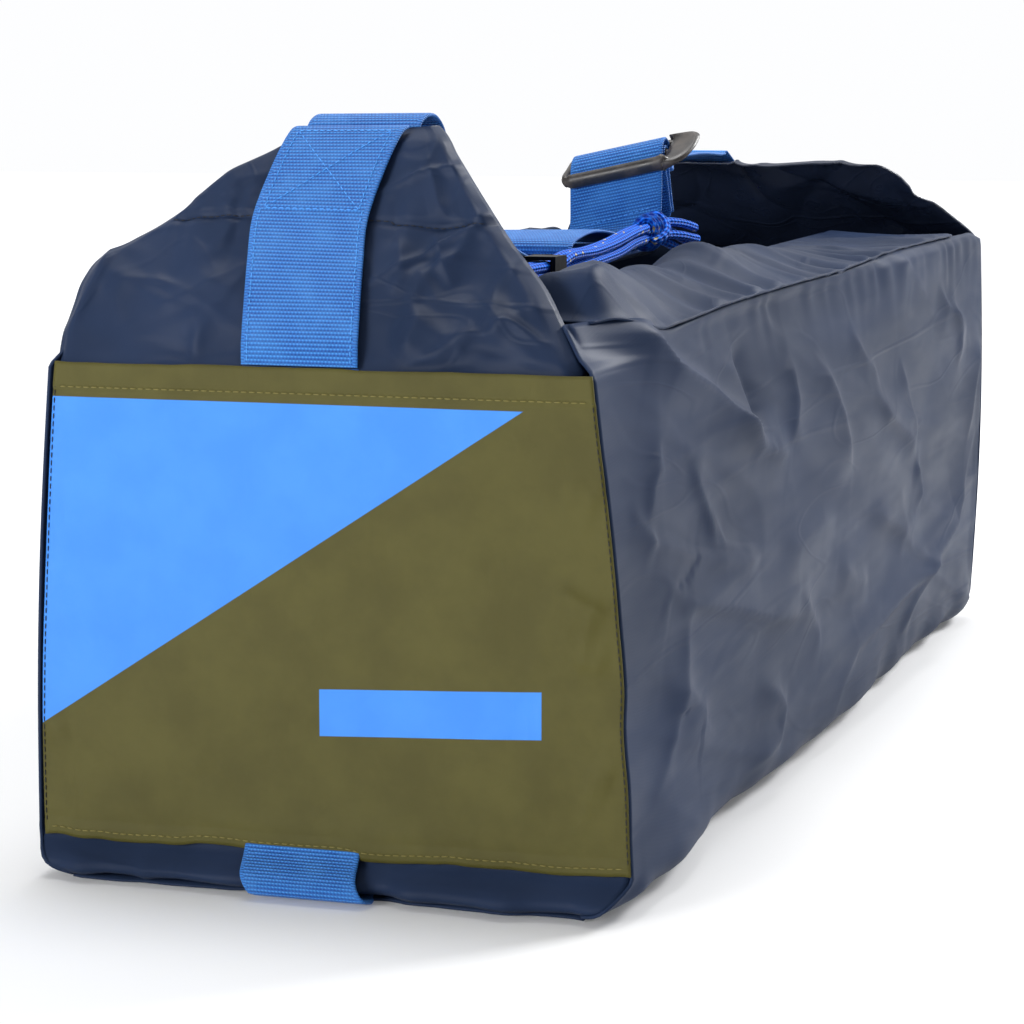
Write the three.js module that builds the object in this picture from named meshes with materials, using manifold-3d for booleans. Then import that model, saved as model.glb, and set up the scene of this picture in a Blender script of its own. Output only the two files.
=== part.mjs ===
// Vehicle side awning, packed in its soft carry bag, with the carry strap and drawcord on top.
// Millimetres, +Z up. The long axis is Y, the label is on the -Y end, and the origin is the
// middle of the base. The bag is filled by the rolled canopy, its poles, pegs and straps.
import * as THREE from 'three';
import { mergeVertices } from 'three/addons/utils/BufferGeometryUtils.js';
import Module from 'manifold-3d';

// Driving dimensions: the bag
const bagLength = 760;
const nearBaseHalf = 126;
const farBaseHalf = 130;
const nearShoulderHalf = 115;
const farShoulderHalf = 132;
const nearShoulderHeight = 222;
const farShoulderRise = 8;
const farShoulderHeight = nearShoulderHeight + farShoulderRise;
const sideBulge = 8;
const bulgeEndShare = 0.4;
const baseCornerRadius = 14;
const clothThick = 1.5;
const mouthThick = 1.2;
const labelThick = 1;
const seamGap = 0.3;
const foldGap = 0.8;
const labelBottom = 17.5;
const labelBelowTop = 1;

// Driving dimensions: the end flaps
const nearEndDrop = 8;
const farEndDrop = 6;
const nearEndHeight = nearShoulderHeight - nearEndDrop;
const farEndHeight = farShoulderHeight - farEndDrop;
const nearFlapHeight = 91;
const nearFlapLean = 54;
const farFlapHeight = 56;
const farFlapLean = 74;

// Driving dimensions: the webbing
const strapWidth = 50;
const strapThick = 1.6;
const endStrapOffset = -9;
const nearTopStrapOffset = -7;
const farTopStrapOffset = -33;
const bellyStrapEndInset = 10;
const strapCornerInside = 0.8;

// Driving dimensions: the carry strap between the flaps
const humpRise = 3.5;
const humpRun = 13;
const humpShoulderShare = 0.8;
const valleyRise = 19.5;
const valleyLevel = nearShoulderHeight + valleyRise;
const valleyStart = -165;
const foldBackAt = -118;
const layerPitch = 2.4;
const tailEndAt = 8;
const stackOffset = 4.7;
const stackFootRise = 12;
const stackFootAhead = 13;
const sewnEndLength = 34;
const sewnEndSpread = 14;
const farStrapSag = 4;
const farPivotGap = 4.5;

// Driving dimensions: the slider
const sliderAt = 24;
const sliderRise = 43;
const sliderHeight = valleyLevel + sliderRise;
const sliderTiltAngle = 20;
const sliderRollAngle = 12;
const sliderBarRadius = 2.4;
const sliderBarPitch = 13;
const sliderWrapGap = 0.5;
const sliderLoopSlack = 1.7;
const rearEntryAngle = 10;
const sliderSideGap = 1.7;
const sliderLeftRail = 4.5;
const sliderRightRail = 13;
const sliderRailThick = 3;
const leafTipShare = 0.75;
const railBevelShare = 0.3;

// Driving dimensions: the mouth flaps
const mouthNearInset = 45;
const mouthFarInset = 90;
const mouthNearEnd = mouthNearInset - bagLength / 2;
const mouthFarEnd = bagLength / 2 - mouthFarInset;
const hemHalfSpace = 54;
const nearCrestRise = 24;
const farCrestRise = 8;
const hemRise = 8;
const hemRadius = 6.4;
const hemTurnAngle = 300;
const hemSteps = 10;

// Driving dimensions: the drawcord
const cordRadius = 2.3;
const channelCordSpread = 2.45;
const channelCordDrop = 1.6;
const knotSide = 33;
const knotRise = 31.5;
const knotAlong = -17.2;
const knotWidth = 12;
const knotLength = 17;
const knotHeight = 17;
const cordSides = 8;

// The bag that the cords' hand-laid routes below were drawn for
const routeBagLength = 760;
const routeShoulderHeight = 222;

// Driving dimensions: the cord lock
const lockAlong = -201;
const lockSide = 36.6;
const lockRise = 20.5;
const lockHeight = nearShoulderHeight + lockRise;
const lockWidth = 15;
const lockDepth = 17;
const lockBore = 10.6;
const lockWall = 1.6;
const buttonRadius = 4.4;
const buttonStemRadius = 2.6;
const buttonHead = 2.6;
const buttonTravel = 2.5;
const lockSpringRadius = 3.5;
const lockWell = 4;
const springWire = 0.4;
const springTurns = 3;

// Driving dimensions: the contents
const packGap = 0.4;
const poleBagWidth = 74;
const poleBagHeight = 52;
const poleBagInset = 50;
const poleBagLength = bagLength - 2 * poleBagInset;
const poleBagWall = 1.2;
const poleBagCorner = 10;
const poleRadius = 6.35;
const poleInset = 70;
const poleLength = bagLength - 2 * poleInset;
const ferruleRadius = 5;
const ferruleLength = 32;
const polesAcross = 4;
const poleRows = 2;
const canopySideGap = 11;
const canopyHalfWidth = nearShoulderHalf - canopySideGap;
const canopyInset = 35;
const canopyLength = bagLength - 2 * canopyInset;
const canopyTop = nearShoulderHeight;
const canopyEndRound = 40;
const tieWidth = 25;
const tieThick = 1.5;
const tieSpacing = 340;
const pegBagWidth = 46;
const pegBagHeight = 34;
const pegBagLength = 240;
const pegBagWall = 1;
const pegBagCorner = 7;
const pegLength = 190;
const pegWing = 11;
const pegThick = 2;
const pegDipShare = 0.6;
const pegRootShare = 1.2;
const pegEdgeShare = 0.5;
const pegStackShare = 1.4;
const pegPoint = 18;
const pegCount = 4;
const vehicleStrapWidth = 25;
const vehicleStrapThick = 1.4;
const vehicleStrapFold = 120;
const vehicleStrapTurns = 6;
const hookRodRadius = 3;
const hookRadius = 11;
const hookShank = 30;
const hookTurnAngle = 207;
const sideLoadInset = 100;

// Small helpers
const wasm = await Module();
wasm.setup();
const lerp = (a, b, share) => a + (b - a) * share;
const radians = (degrees) => degrees * Math.PI / 180;
const vec = (x, y, z) => new THREE.Vector3(x, y, z);
const centreOf = (a, b) => (a + b) / 2;

// Materials, with colours from the photograph
const cloth = (colour, roughness) => new THREE.MeshStandardMaterial({ color: colour, roughness, metalness: 0 });
const navyCloth = () => cloth(0x2a3550, 0.45);
const oliveCloth = () => cloth(0x605c37, 0.6);
const blueWebbing = () => cloth(0x3c7fc4, 0.75);
const blueCord = () => cloth(0x1f49d2, 0.7);
const darkPlastic = () => cloth(0x45464a, 0.4);
const blackPlastic = () => cloth(0x15161a, 0.4);
const greyCloth = () => cloth(0x8f9499, 0.8);
const metal = (colour) => new THREE.MeshStandardMaterial({ color: colour, roughness: 0.35, metalness: 0.9 });

const awning = new THREE.Group();
awning.name = 'packed_vehicle_awning';

function add(name, geometry, material, parent = awning) {
  const mesh = new THREE.Mesh(geometry, material);
  mesh.name = name;
  parent.add(mesh);
  return mesh;
}

function fromTriangles(points, triangles) {
  const geometry = new THREE.BufferGeometry();
  const coordinates = points.flatMap((p) => [p.x, p.y, p.z]);
  geometry.setAttribute('position', new THREE.Float32BufferAttribute(coordinates, 3));
  geometry.setIndex(triangles);
  geometry.computeVertexNormals();
  return geometry;
}

// The outward normal at each point of a grid, from its neighbours
function gridNormal(grid, i, j) {
  const lastI = grid.length - 1;
  const lastJ = grid[0].length - 1;
  const across = grid[Math.min(i + 1, lastI)][j].clone().sub(grid[Math.max(i - 1, 0)][j]);
  const along = grid[i][Math.min(j + 1, lastJ)].clone().sub(grid[i][Math.max(j - 1, 0)]);
  return across.cross(along).normalize();
}

// A closed slab of even thickness over a grid of points. The share of the thickness that lies
// outside the grid is 0 where the grid is the outer face, and 0.5 where it is the middle.
function slab(grid, thick, outsideShare = 0) {
  const rows = grid.length;
  const columns = grid[0].length;
  const outer = [];
  const inner = [];
  for (let i = 0; i < rows; i += 1) {
    for (let j = 0; j < columns; j += 1) {
      const normal = gridNormal(grid, i, j);
      outer.push(grid[i][j].clone().addScaledVector(normal, thick * outsideShare));
      inner.push(grid[i][j].clone().addScaledVector(normal, -thick * (1 - outsideShare)));
    }
  }
  const triangles = [];
  const top = (i, j) => i * columns + j;
  const low = (i, j) => rows * columns + top(i, j);
  const quad = (a, b, c, d) => triangles.push(a, b, c, a, c, d);
  for (let i = 0; i < rows - 1; i += 1) {
    for (let j = 0; j < columns - 1; j += 1) {
      quad(top(i, j), top(i + 1, j), top(i + 1, j + 1), top(i, j + 1));
      quad(low(i, j), low(i, j + 1), low(i + 1, j + 1), low(i + 1, j));
    }
  }
  const endJ = columns - 1;
  const endI = rows - 1;
  for (let i = 0; i < rows - 1; i += 1) {
    quad(low(i, 0), low(i + 1, 0), top(i + 1, 0), top(i, 0));
    quad(low(i, endJ), top(i, endJ), top(i + 1, endJ), low(i + 1, endJ));
  }
  for (let j = 0; j < columns - 1; j += 1) {
    quad(low(0, j), top(0, j), top(0, j + 1), low(0, j + 1));
    quad(low(endI, j), low(endI, j + 1), top(endI, j + 1), top(endI, j));
  }
  return fromTriangles([...outer, ...inner], triangles);
}

function sheet(pointAt, stepsU, stepsV, thick, outsideShare = 0) {
  const grid = [];
  for (let i = 0; i <= stepsU; i += 1) {
    const row = [];
    for (let j = 0; j <= stepsV; j += 1) row.push(pointAt(i / stepsU, j / stepsV));
    grid.push(row);
  }
  return slab(grid, thick, outsideShare);
}

// Webbing laid along stations of place and roll, with its flat side across the path
function webbing(stations, width = strapWidth, thick = strapThick) {
  const edge = (side) => stations.map(({ x, y, z, roll = 0 }) => vec(
    x + side * width / 2 * Math.cos(roll),
    y,
    z + side * width / 2 * Math.sin(roll),
  ));
  return slab([edge(-1), edge(1)], thick, 0.5);
}

function mirrored(geometry) {
  const copy = geometry.clone();
  copy.scale(-1, 1, 1);
  const index = copy.index.array;
  for (let i = 0; i < index.length; i += 3) {
    const first = index[i];
    index[i] = index[i + 1];
    index[i + 1] = first;
  }
  copy.computeVertexNormals();
  return copy;
}

// A flat outline of x and z, given thickness along Y from one face to the other
function standingPlate(outline, fromY, toY, hole) {
  const shape = new THREE.Shape(outline.map(([x, z]) => new THREE.Vector2(x, z)));
  if (hole) shape.holes.push(new THREE.Path(hole.map(([x, z]) => new THREE.Vector2(x, z))));
  const geometry = new THREE.ExtrudeGeometry(shape, { depth: toY - fromY, bevelEnabled: false });
  geometry.rotateX(Math.PI / 2);
  geometry.translate(0, toY, 0);
  return geometry;
}

function circleOutline(radius, sides, centreX = 0, centreZ = 0, stretch = 1) {
  const points = [];
  for (let i = 0; i < sides; i += 1) {
    const angle = i / sides * Math.PI * 2;
    points.push([centreX + radius * Math.cos(angle), centreZ + radius * stretch * Math.sin(angle)]);
  }
  return points;
}

// A round cord or rod swept along a smooth curve through hand-placed points
function sweptRod(points, radius, sides, stepLength) {
  const curve = new THREE.CatmullRomCurve3(points, false, 'centripetal');
  const steps = Math.max(1, Math.round(curve.getLength() / stepLength));
  const shape = new THREE.Shape(circleOutline(radius, sides).map(([a, b]) => new THREE.Vector2(a, b)));
  return new THREE.ExtrudeGeometry(shape, { steps, extrudePath: curve, bevelEnabled: false });
}

function toSolid(geometry) {
  const bare = geometry.clone();
  bare.deleteAttribute('normal');
  bare.deleteAttribute('uv');
  const merged = mergeVertices(bare);
  return new wasm.Manifold(new wasm.Mesh({
    numProp: 3,
    vertProperties: new Float32Array(merged.attributes.position.array),
    triVerts: new Uint32Array(merged.index.array),
  }));
}

function fromSolid(solid) {
  const mesh = solid.getMesh();
  const geometry = new THREE.BufferGeometry();
  geometry.setAttribute('position', new THREE.BufferAttribute(new Float32Array(mesh.vertProperties), 3));
  geometry.setIndex(new THREE.BufferAttribute(new Uint32Array(mesh.triVerts), 1));
  geometry.computeVertexNormals();
  return geometry;
}

function rod(radius, fromX, toX, sides = 12) {
  const geometry = new THREE.CylinderGeometry(radius, radius, toX - fromX, sides);
  geometry.rotateZ(Math.PI / 2);
  geometry.translate(centreOf(fromX, toX), 0, 0);
  return geometry;
}

// Layers at the two ends, from the outside in: label, webbing, cloth
const nearStrapPlane = -bagLength / 2 + labelThick + seamGap + strapThick / 2;
const nearPanelOuter = nearStrapPlane + strapThick / 2 + seamGap;
const nearPanelInner = nearPanelOuter + clothThick;
const farStrapPlane = bagLength / 2 - strapThick / 2;
const farPanelOuter = farStrapPlane - strapThick / 2 - seamGap;
const farPanelInner = farPanelOuter - clothThick;
const tubeStart = nearPanelInner + seamGap;
const tubeEnd = farPanelInner - seamGap;

// The bag's tube: half widths and heights along its length
const tubeShare = (y) => (y - tubeStart) / (tubeEnd - tubeStart);
const baseHalf = (share) => lerp(nearBaseHalf, farBaseHalf, share);
const shoulderHalf = (share) => lerp(nearShoulderHalf, farShoulderHalf, share);
const shoulderZ = (share) => lerp(nearShoulderHeight, farShoulderHeight, share);

function sideX(share, upShare) {
  const lengthwise = lerp(bulgeEndShare, 1, Math.sin(Math.PI * share));
  const straight = lerp(baseHalf(share), shoulderHalf(share), upShare);
  return straight + sideBulge * lengthwise * Math.sin(Math.PI * upShare);
}

function sidePanel() {
  const seam = baseCornerRadius + seamGap;
  const at = (u, v) => vec(sideX(u, v), lerp(tubeStart, tubeEnd, u), lerp(seam, shoulderZ(u), v));
  return sheet(at, 20, 8, clothThick);
}

// The base has a shallow channel for the belly strap, so that both lie flat on the floor
const channelRise = strapThick + seamGap;
const channelHalf = strapWidth / 2 + strapThick;

function baseSection(share) {
  const half = baseHalf(share);
  const inner = half - baseCornerRadius;
  const cornerSteps = 4;
  const points = [];
  for (let i = 0; i <= cornerSteps; i += 1) {
    const angle = i / cornerSteps * Math.PI / 2;
    points.push([
      -inner - baseCornerRadius * Math.cos(angle),
      baseCornerRadius * (1 - Math.sin(angle)),
    ]);
  }
  points.push([endStrapOffset - channelHalf - channelRise, 0]);
  points.push([endStrapOffset - channelHalf, channelRise]);
  points.push([endStrapOffset + channelHalf, channelRise]);
  points.push([endStrapOffset + channelHalf + channelRise, 0]);
  for (let i = cornerSteps; i >= 0; i -= 1) {
    const angle = i / cornerSteps * Math.PI / 2;
    points.push([
      inner + baseCornerRadius * Math.cos(angle),
      baseCornerRadius * (1 - Math.sin(angle)),
    ]);
  }
  return points;
}

function basePanel() {
  const steps = 6;
  const grid = [];
  for (let i = 0; i <= steps; i += 1) {
    const share = i / steps;
    const y = lerp(tubeStart, tubeEnd, share);
    grid.push(baseSection(share).map(([x, z]) => vec(x, y, z)));
  }
  return slab(grid, clothThick);
}

// An end panel follows the tube's section, with a notch where the belly strap turns up
const notchRise = channelRise + seamGap;

function endOutline(share, topHeight) {
  const sideSteps = 8;
  const notch = channelHalf + channelRise;
  const right = [];
  const seam = baseCornerRadius + seamGap;
  const inner = baseHalf(share) - baseCornerRadius;
  for (let i = 1; i < 4; i += 1) {
    const angle = i / 4 * Math.PI / 2;
    right.push([
      inner + baseCornerRadius * Math.sin(angle),
      baseCornerRadius * (1 - Math.cos(angle)),
    ]);
  }
  for (let i = 0; i <= sideSteps; i += 1) {
    const up = i / sideSteps * (topHeight - seam) / (shoulderZ(share) - seam);
    right.push([sideX(share, up), lerp(seam, topHeight, i / sideSteps)]);
  }
  const left = right.map(([x, z]) => [-x, z]).reverse();
  return [
    [endStrapOffset + notch, 0],
    [inner, 0],
    ...right,
    ...left,
    [-inner, 0],
    [endStrapOffset - notch, 0],
    [endStrapOffset - notch, notchRise],
    [endStrapOffset + notch, notchRise],
  ];
}

function labelPanel() {
  const steps = 8;
  const top = nearEndHeight - labelBelowTop;
  const seam = baseCornerRadius + seamGap;
  const right = [];
  for (let i = 0; i <= steps; i += 1) {
    const z = lerp(labelBottom, top, i / steps);
    right.push([sideX(0, (z - seam) / (shoulderZ(0) - seam)), z]);
  }
  const left = right.map(([x, z]) => [-x, z]).reverse();
  return standingPlate([...right, ...left], -bagLength / 2, -bagLength / 2 + labelThick);
}

// Webbing round the bag: under the base and up each end
function bellyStrap() {
  const inset = bellyStrapEndInset + bagLength / 2;
  const from = -bagLength / 2 + bellyStrapEndInset;
  const to = inset - 2 * bellyStrapEndInset;
  const z = strapThick / 2;
  return webbing([{ x: endStrapOffset, y: from, z }, { x: endStrapOffset, y: to, z }]);
}

function endStrap(plane, sign, top) {
  const radius = strapThick / 2 + strapCornerInside;
  const centreY = plane - sign * radius;
  const low = strapThick / 2;
  const stations = [];
  const start = sign * (bagLength / 2 - bellyStrapEndInset + seamGap * 2);
  stations.push({ x: endStrapOffset, y: start, z: low });
  const steps = 4;
  for (let i = 0; i <= steps; i += 1) {
    const angle = i / steps * Math.PI / 2;
    stations.push({
      x: endStrapOffset,
      y: centreY + sign * radius * Math.sin(angle),
      z: low + radius * (1 - Math.cos(angle)),
    });
  }
  stations.push({ x: endStrapOffset, y: plane, z: top });
  return webbing(stations);
}

// Bag body
const nearEnd = standingPlate(endOutline(0, nearEndHeight), nearPanelOuter, nearPanelInner);
const farEnd = standingPlate(endOutline(1, farEndHeight), farPanelInner, farPanelOuter);
add('near_end_panel', nearEnd, navyCloth());
add('far_end_panel', farEnd, navyCloth());
add('right_side_panel', sidePanel(), navyCloth());
add('left_side_panel', mirrored(sidePanel()), navyCloth());
add('base_panel', basePanel(), navyCloth());
add('label_panel', labelPanel(), oliveCloth());
add('belly_strap', bellyStrap(), blueWebbing());
add('near_end_strap', endStrap(nearStrapPlane, -1, nearEndHeight), blueWebbing());
add('far_end_strap', endStrap(farStrapPlane, 1, farEndHeight), blueWebbing());

// End flaps: share of the height, then the left and right half widths as shares of the foot
const nearFlapShares = [
  [0, 1, 1],
  [0.2, 0.985, 0.86],
  [0.34, 0.965, 0.75],
  [0.45, 0.9, 0.64],
  [0.64, 0.68, 0.52],
  [0.82, 0.47, 0.38],
  [1, 0.3, 0.27],
];
const farFlapShares = [
  [0, 1, 1],
  [0.18, 0.97, 0.97],
  [0.4, 0.83, 0.81],
  [0.55, 0.78, 0.74],
  [0.85, 0.72, 0.68],
  [1, 0.66, 0.6],
];

const nearFlapFoot = vec(0, centreOf(nearPanelOuter, nearPanelInner), nearEndHeight + foldGap);
const nearFlapTop = vec(0, nearFlapFoot.y + nearFlapLean, nearFlapFoot.z + nearFlapHeight);
const farFlapFoot = vec(0, centreOf(farPanelOuter, farPanelInner), farEndHeight + foldGap);
const farFlapTop = vec(0, farFlapFoot.y - farFlapLean, farFlapFoot.z + farFlapHeight);

function flap(foot, top, footHalf, shares, outwardSign) {
  const steps = 6;
  const grid = [];
  for (let i = 0; i <= steps; i += 1) {
    const across = outwardSign < 0 ? i / steps : 1 - i / steps;
    grid.push(shares.map(([up, left, right]) => vec(
      lerp(-footHalf * left, footHalf * right, across),
      lerp(foot.y, top.y, up),
      lerp(foot.z, top.z, up),
    )));
  }
  return slab(grid, clothThick, 0.5);
}

// Webbing up the outside of a flap, and over its top edge
const flapStrapLift = clothThick / 2 + seamGap + strapThick / 2;
const overTopShare = 0.98;

function flapStrap(foot, top, plane, outwardSign, topOffset) {
  const slope = top.clone().sub(foot).normalize();
  const normal = vec(0, outwardSign * slope.z, -outwardSign * slope.y);
  if (normal.z < 0) normal.multiplyScalar(-1);
  const at = (share) => foot.clone().lerp(top, share).addScaledVector(normal, flapStrapLift);
  const low = at(0);
  const high = at(1);
  const beyond = high.clone().addScaledVector(slope, clothThick);
  const stations = [
    { x: endStrapOffset, y: plane, z: foot.z },
    { x: endStrapOffset, y: low.y, z: low.z + seamGap * 2 },
  ];
  for (const share of [0.35, 0.7, overTopShare]) {
    const p = at(share);
    stations.push({ x: lerp(endStrapOffset, topOffset, share), y: p.y, z: p.z });
  }
  stations.push({ x: topOffset, y: beyond.y, z: beyond.z });
  return { stations, end: stations.at(-1) };
}

const nearFlapStrap = flapStrap(nearFlapFoot, nearFlapTop, nearStrapPlane, -1, nearTopStrapOffset);
const farFlapStrap = flapStrap(farFlapFoot, farFlapTop, farStrapPlane, 1, farTopStrapOffset);
const nearFootHalf = nearShoulderHalf - clothThick - foldGap;
const farFootHalf = farShoulderHalf - clothThick - foldGap;
add('near_flap', flap(nearFlapFoot, nearFlapTop, nearFootHalf, nearFlapShares, -1), navyCloth());
add('near_flap_strap', webbing(nearFlapStrap.stations), blueWebbing());
add('far_flap', flap(farFlapFoot, farFlapTop, farFootHalf, farFlapShares, 1), navyCloth());
add('far_flap_strap', webbing(farFlapStrap.stations), blueWebbing());

// Carry strap. It wraps the slider's centre bar, the near strap inside and the far strap outside.
const sliderRoll = radians(sliderRollAngle);
const innerWrap = sliderBarRadius + sliderWrapGap + strapThick / 2;
const outerWrap = innerWrap + strapThick + sliderWrapGap + sliderLoopSlack;
const nearStrapStart = {
  x: nearTopStrapOffset,
  y: nearFlapStrap.end.y + foldGap,
  z: nearFlapStrap.end.z + seamGap,
};
const humpTop = { y: nearStrapStart.y + humpRun, z: nearStrapStart.z + humpRise };

// The fall from the hump to the valley: share of the run, then share of the drop
const fallShares = [
  [0, 0],
  [0.06, 0.04],
  [0.13, 0.14],
  [0.22, 0.32],
  [0.35, 0.53],
  [0.5, 0.71],
  [0.68, 0.87],
  [0.85, 0.97],
  [1, 1],
];

const stackFoot = { y: sliderAt + stackFootAhead, z: valleyLevel + stackFootRise };
const stackSlope = new THREE.Vector2(stackFoot.y - sliderAt, stackFoot.z - sliderHeight).normalize();
const stackSide = new THREE.Vector2(-stackSlope.y, stackSlope.x);

// A point given by its distance down the stack from the slider, and its distance behind that line
function stackPoint(down, behind) {
  return {
    x: stackOffset,
    y: sliderAt + stackSlope.x * down + stackSide.x * behind,
    z: sliderHeight + stackSlope.y * down + stackSide.y * behind,
    roll: sliderRoll,
  };
}

function wrapRound(radius, fromAngle, toAngle, steps) {
  const stations = [];
  for (let i = 0; i <= steps; i += 1) {
    const angle = lerp(fromAngle, toAngle, i / steps);
    stations.push({
      x: stackOffset,
      y: sliderAt + radius * Math.cos(angle),
      z: sliderHeight + radius * Math.sin(angle),
      roll: sliderRoll,
    });
  }
  return stations;
}

const stackLength = Math.hypot(stackFoot.y - sliderAt, stackFoot.z - sliderHeight);
// Where the sewn end comes away from the bar: shares of its spread, then of the way to the stack
const sewnEndShares = [
  [0.45, 0.86],
  [1, 0.2],
  [1.4, 0],
];

// The turn from the valley up into the stack: share of the run, then share of the rise
const turnShares = [
  [0.3, 0.03],
  [0.62, 0.16],
  [0.85, 0.42],
  [1, 0.8],
];

function nearStrapStations() {
  const stations = [nearStrapStart];
  stations.push({
    x: nearTopStrapOffset,
    y: centreOf(nearStrapStart.y, humpTop.y),
    z: lerp(nearStrapStart.z, humpTop.z, humpShoulderShare),
  });
  for (const [run, drop] of fallShares) {
    stations.push({
      x: lerp(nearTopStrapOffset, 0, run),
      y: lerp(humpTop.y, valleyStart, run),
      z: lerp(humpTop.z, valleyLevel, drop),
    });
  }
  const turnStart = sliderAt - stackFootRise;
  stations.push({ x: 0, y: foldBackAt, z: valleyLevel });
  stations.push({ x: 0, y: turnStart, z: valleyLevel });
  for (const [run, rise] of turnShares) {
    stations.push({
      x: stackOffset * rise,
      y: lerp(turnStart, stackFoot.y, run),
      z: lerp(valleyLevel, stackFoot.z, rise),
      roll: sliderRoll * rise,
    });
  }
  stations.push(stackPoint(stackLength - strapThick * 2, -innerWrap));
  stations.push(stackPoint(stackLength / 2, -innerWrap));
  const sideAngle = Math.atan2(stackSide.y, stackSide.x);
  stations.push(...wrapRound(innerWrap, sideAngle - Math.PI, sideAngle - 2 * Math.PI, 8));
  const close = -innerWrap + strapThick + sliderWrapGap;
  for (const [down, behind] of sewnEndShares) {
    stations.push(stackPoint(sewnEndSpread * down, lerp(close, innerWrap, behind)));
  }
  stations.push(stackPoint(sewnEndLength, close));
  return stations;
}

// The far strap comes from the far flap, goes up through the rear slot, over the centre bar, down
// the front of the stack, along the valley, and folds back under itself
const frontPlane = sliderAt - outerWrap;
const upperLayer = valleyLevel + 2 * layerPitch;
const lowerLayer = valleyLevel + layerPitch;
// Where the strap comes in under the rear bar: shares of the bar pitch behind and below the centre
const rearEntryShares = [
  [0.95, 0.65],
  [0.62, 0.36],
];
const farStrapShares = [0.1, 0.35, 0.65, 0.92];

// The bend from the front of the stack to the valley: share of the run, then share of the rise
const frontBendShares = [
  [0, 1],
  [0.06, 0.55],
  [0.28, 0.24],
  [0.6, 0.06],
  [1, 0],
];

function farStrapStations() {
  const start = { x: farTopStrapOffset, y: farFlapStrap.end.y - farPivotGap, z: farFlapStrap.end.z };
  const entry = rearEntryShares.map(([behind, below]) => ({
    x: stackOffset,
    y: sliderAt + sliderBarPitch * behind,
    z: sliderHeight - sliderBarPitch * below,
    roll: sliderRoll,
  }));
  const underRear = entry[0];
  const stations = [start];
  for (const share of farStrapShares) {
    stations.push({
      x: lerp(farTopStrapOffset, stackOffset, share),
      y: lerp(start.y, underRear.y, share),
      z: lerp(start.z, underRear.z, share) - farStrapSag * 4 * share * (1 - share),
      roll: sliderRoll * share,
    });
  }
  stations.push(...entry);
  stations.push(...wrapRound(outerWrap, radians(rearEntryAngle), Math.PI, 8));
  const bendRun = stackFootRise;
  for (const [run, rise] of frontBendShares) {
    stations.push({
      x: stackOffset * rise,
      y: frontPlane - bendRun * run,
      z: lerp(upperLayer, upperLayer + stackFootRise, rise),
      roll: sliderRoll * rise,
    });
  }
  stations.push({ x: 0, y: foldBackAt, z: upperLayer });
  const foldRadius = layerPitch / 2;
  for (const angle of [120, 180, 240]) {
    stations.push({
      x: 0,
      y: foldBackAt + foldRadius * Math.cos(radians(angle)),
      z: lowerLayer + foldRadius + foldRadius * Math.sin(radians(angle)),
    });
  }
  stations.push({ x: 0, y: foldBackAt, z: lowerLayer });
  stations.push({ x: 0, y: tailEndAt - bendRun, z: lowerLayer });
  return stations;
}

add('carry_strap_near', webbing(nearStrapStations()), blueWebbing());
add('carry_strap_far', webbing(farStrapStations()), blueWebbing());

// Three-bar slider, made flat and then tilted. Its right rail is a wide leaf.
function rail(fromX, toX, leaf) {
  const reach = sliderBarPitch + sliderBarRadius;
  const shape = new THREE.Shape();
  const inner = fromX;
  const outer = toX;
  const tip = leaf ? reach * leafTipShare : reach;
  const shoulder = sliderBarRadius * 2;
  shape.moveTo(inner, -reach);
  shape.quadraticCurveTo(outer, -reach, outer, -reach + shoulder * 2);
  shape.lineTo(outer, tip - shoulder);
  shape.quadraticCurveTo(outer, reach, inner, reach);
  shape.closePath();
  const bevel = sliderRailThick * railBevelShare;
  const geometry = new THREE.ExtrudeGeometry(shape, {
    depth: sliderRailThick - bevel * 2,
    bevelEnabled: true,
    bevelSize: bevel,
    bevelThickness: bevel,
    bevelOffset: -bevel,
    bevelSegments: 1,
    curveSegments: 5,
  });
  geometry.translate(0, 0, -sliderRailThick / 2 + bevel);
  return geometry;
}

function sliderSolid() {
  const inside = strapWidth / 2 + sliderSideGap;
  let solid = toSolid(rail(inside, inside + sliderRightRail, true));
  const left = rail(inside, inside + sliderLeftRail, false);
  left.rotateZ(Math.PI);
  solid = solid.add(toSolid(left));
  for (const place of [-1, 0, 1]) {
    const bar = rod(sliderBarRadius, -inside - sliderLeftRail / 2, inside + sliderLeftRail / 2);
    bar.translate(0, place * sliderBarPitch, 0);
    solid = solid.add(toSolid(bar));
  }
  return fromSolid(solid);
}

const sliderRolled = new THREE.Group();
sliderRolled.position.set(stackOffset, sliderAt, sliderHeight);
sliderRolled.rotation.y = -sliderRoll;
awning.add(sliderRolled);
const slider = add('strap_slider', sliderSolid(), darkPlastic(), sliderRolled);
slider.rotation.x = radians(sliderTiltAngle);

// Mouth flaps: share of the way in from the shoulder, then share of the crest's rise
const mouthShares = [
  [0, 0],
  [0.12, 0.4],
  [0.26, 0.78],
  [0.42, 0.98],
  [0.58, 1],
  [0.74, 0.86],
  [0.88, 0.66],
];

function mouthHem(y) {
  return { x: hemHalfSpace, z: shoulderZ(tubeShare(y)) + hemRise - hemRadius };
}

function mouthSection(y) {
  const share = tubeShare(y);
  const seamX = shoulderHalf(share) - clothThick / 2;
  const seamZ = shoulderZ(share) + foldGap;
  const hem = mouthHem(y);
  const crestRise = lerp(nearCrestRise, farCrestRise, share);
  const at = ([inward, rise]) => vec(lerp(seamX, hem.x, inward), y, seamZ + crestRise * rise);
  const points = mouthShares.map(at);
  for (let i = 0; i <= hemSteps; i += 1) {
    const angle = radians(90 + hemTurnAngle * i / hemSteps);
    points.push(vec(hem.x + hemRadius * Math.cos(angle), y, hem.z + hemRadius * Math.sin(angle)));
  }
  return points;
}

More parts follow.
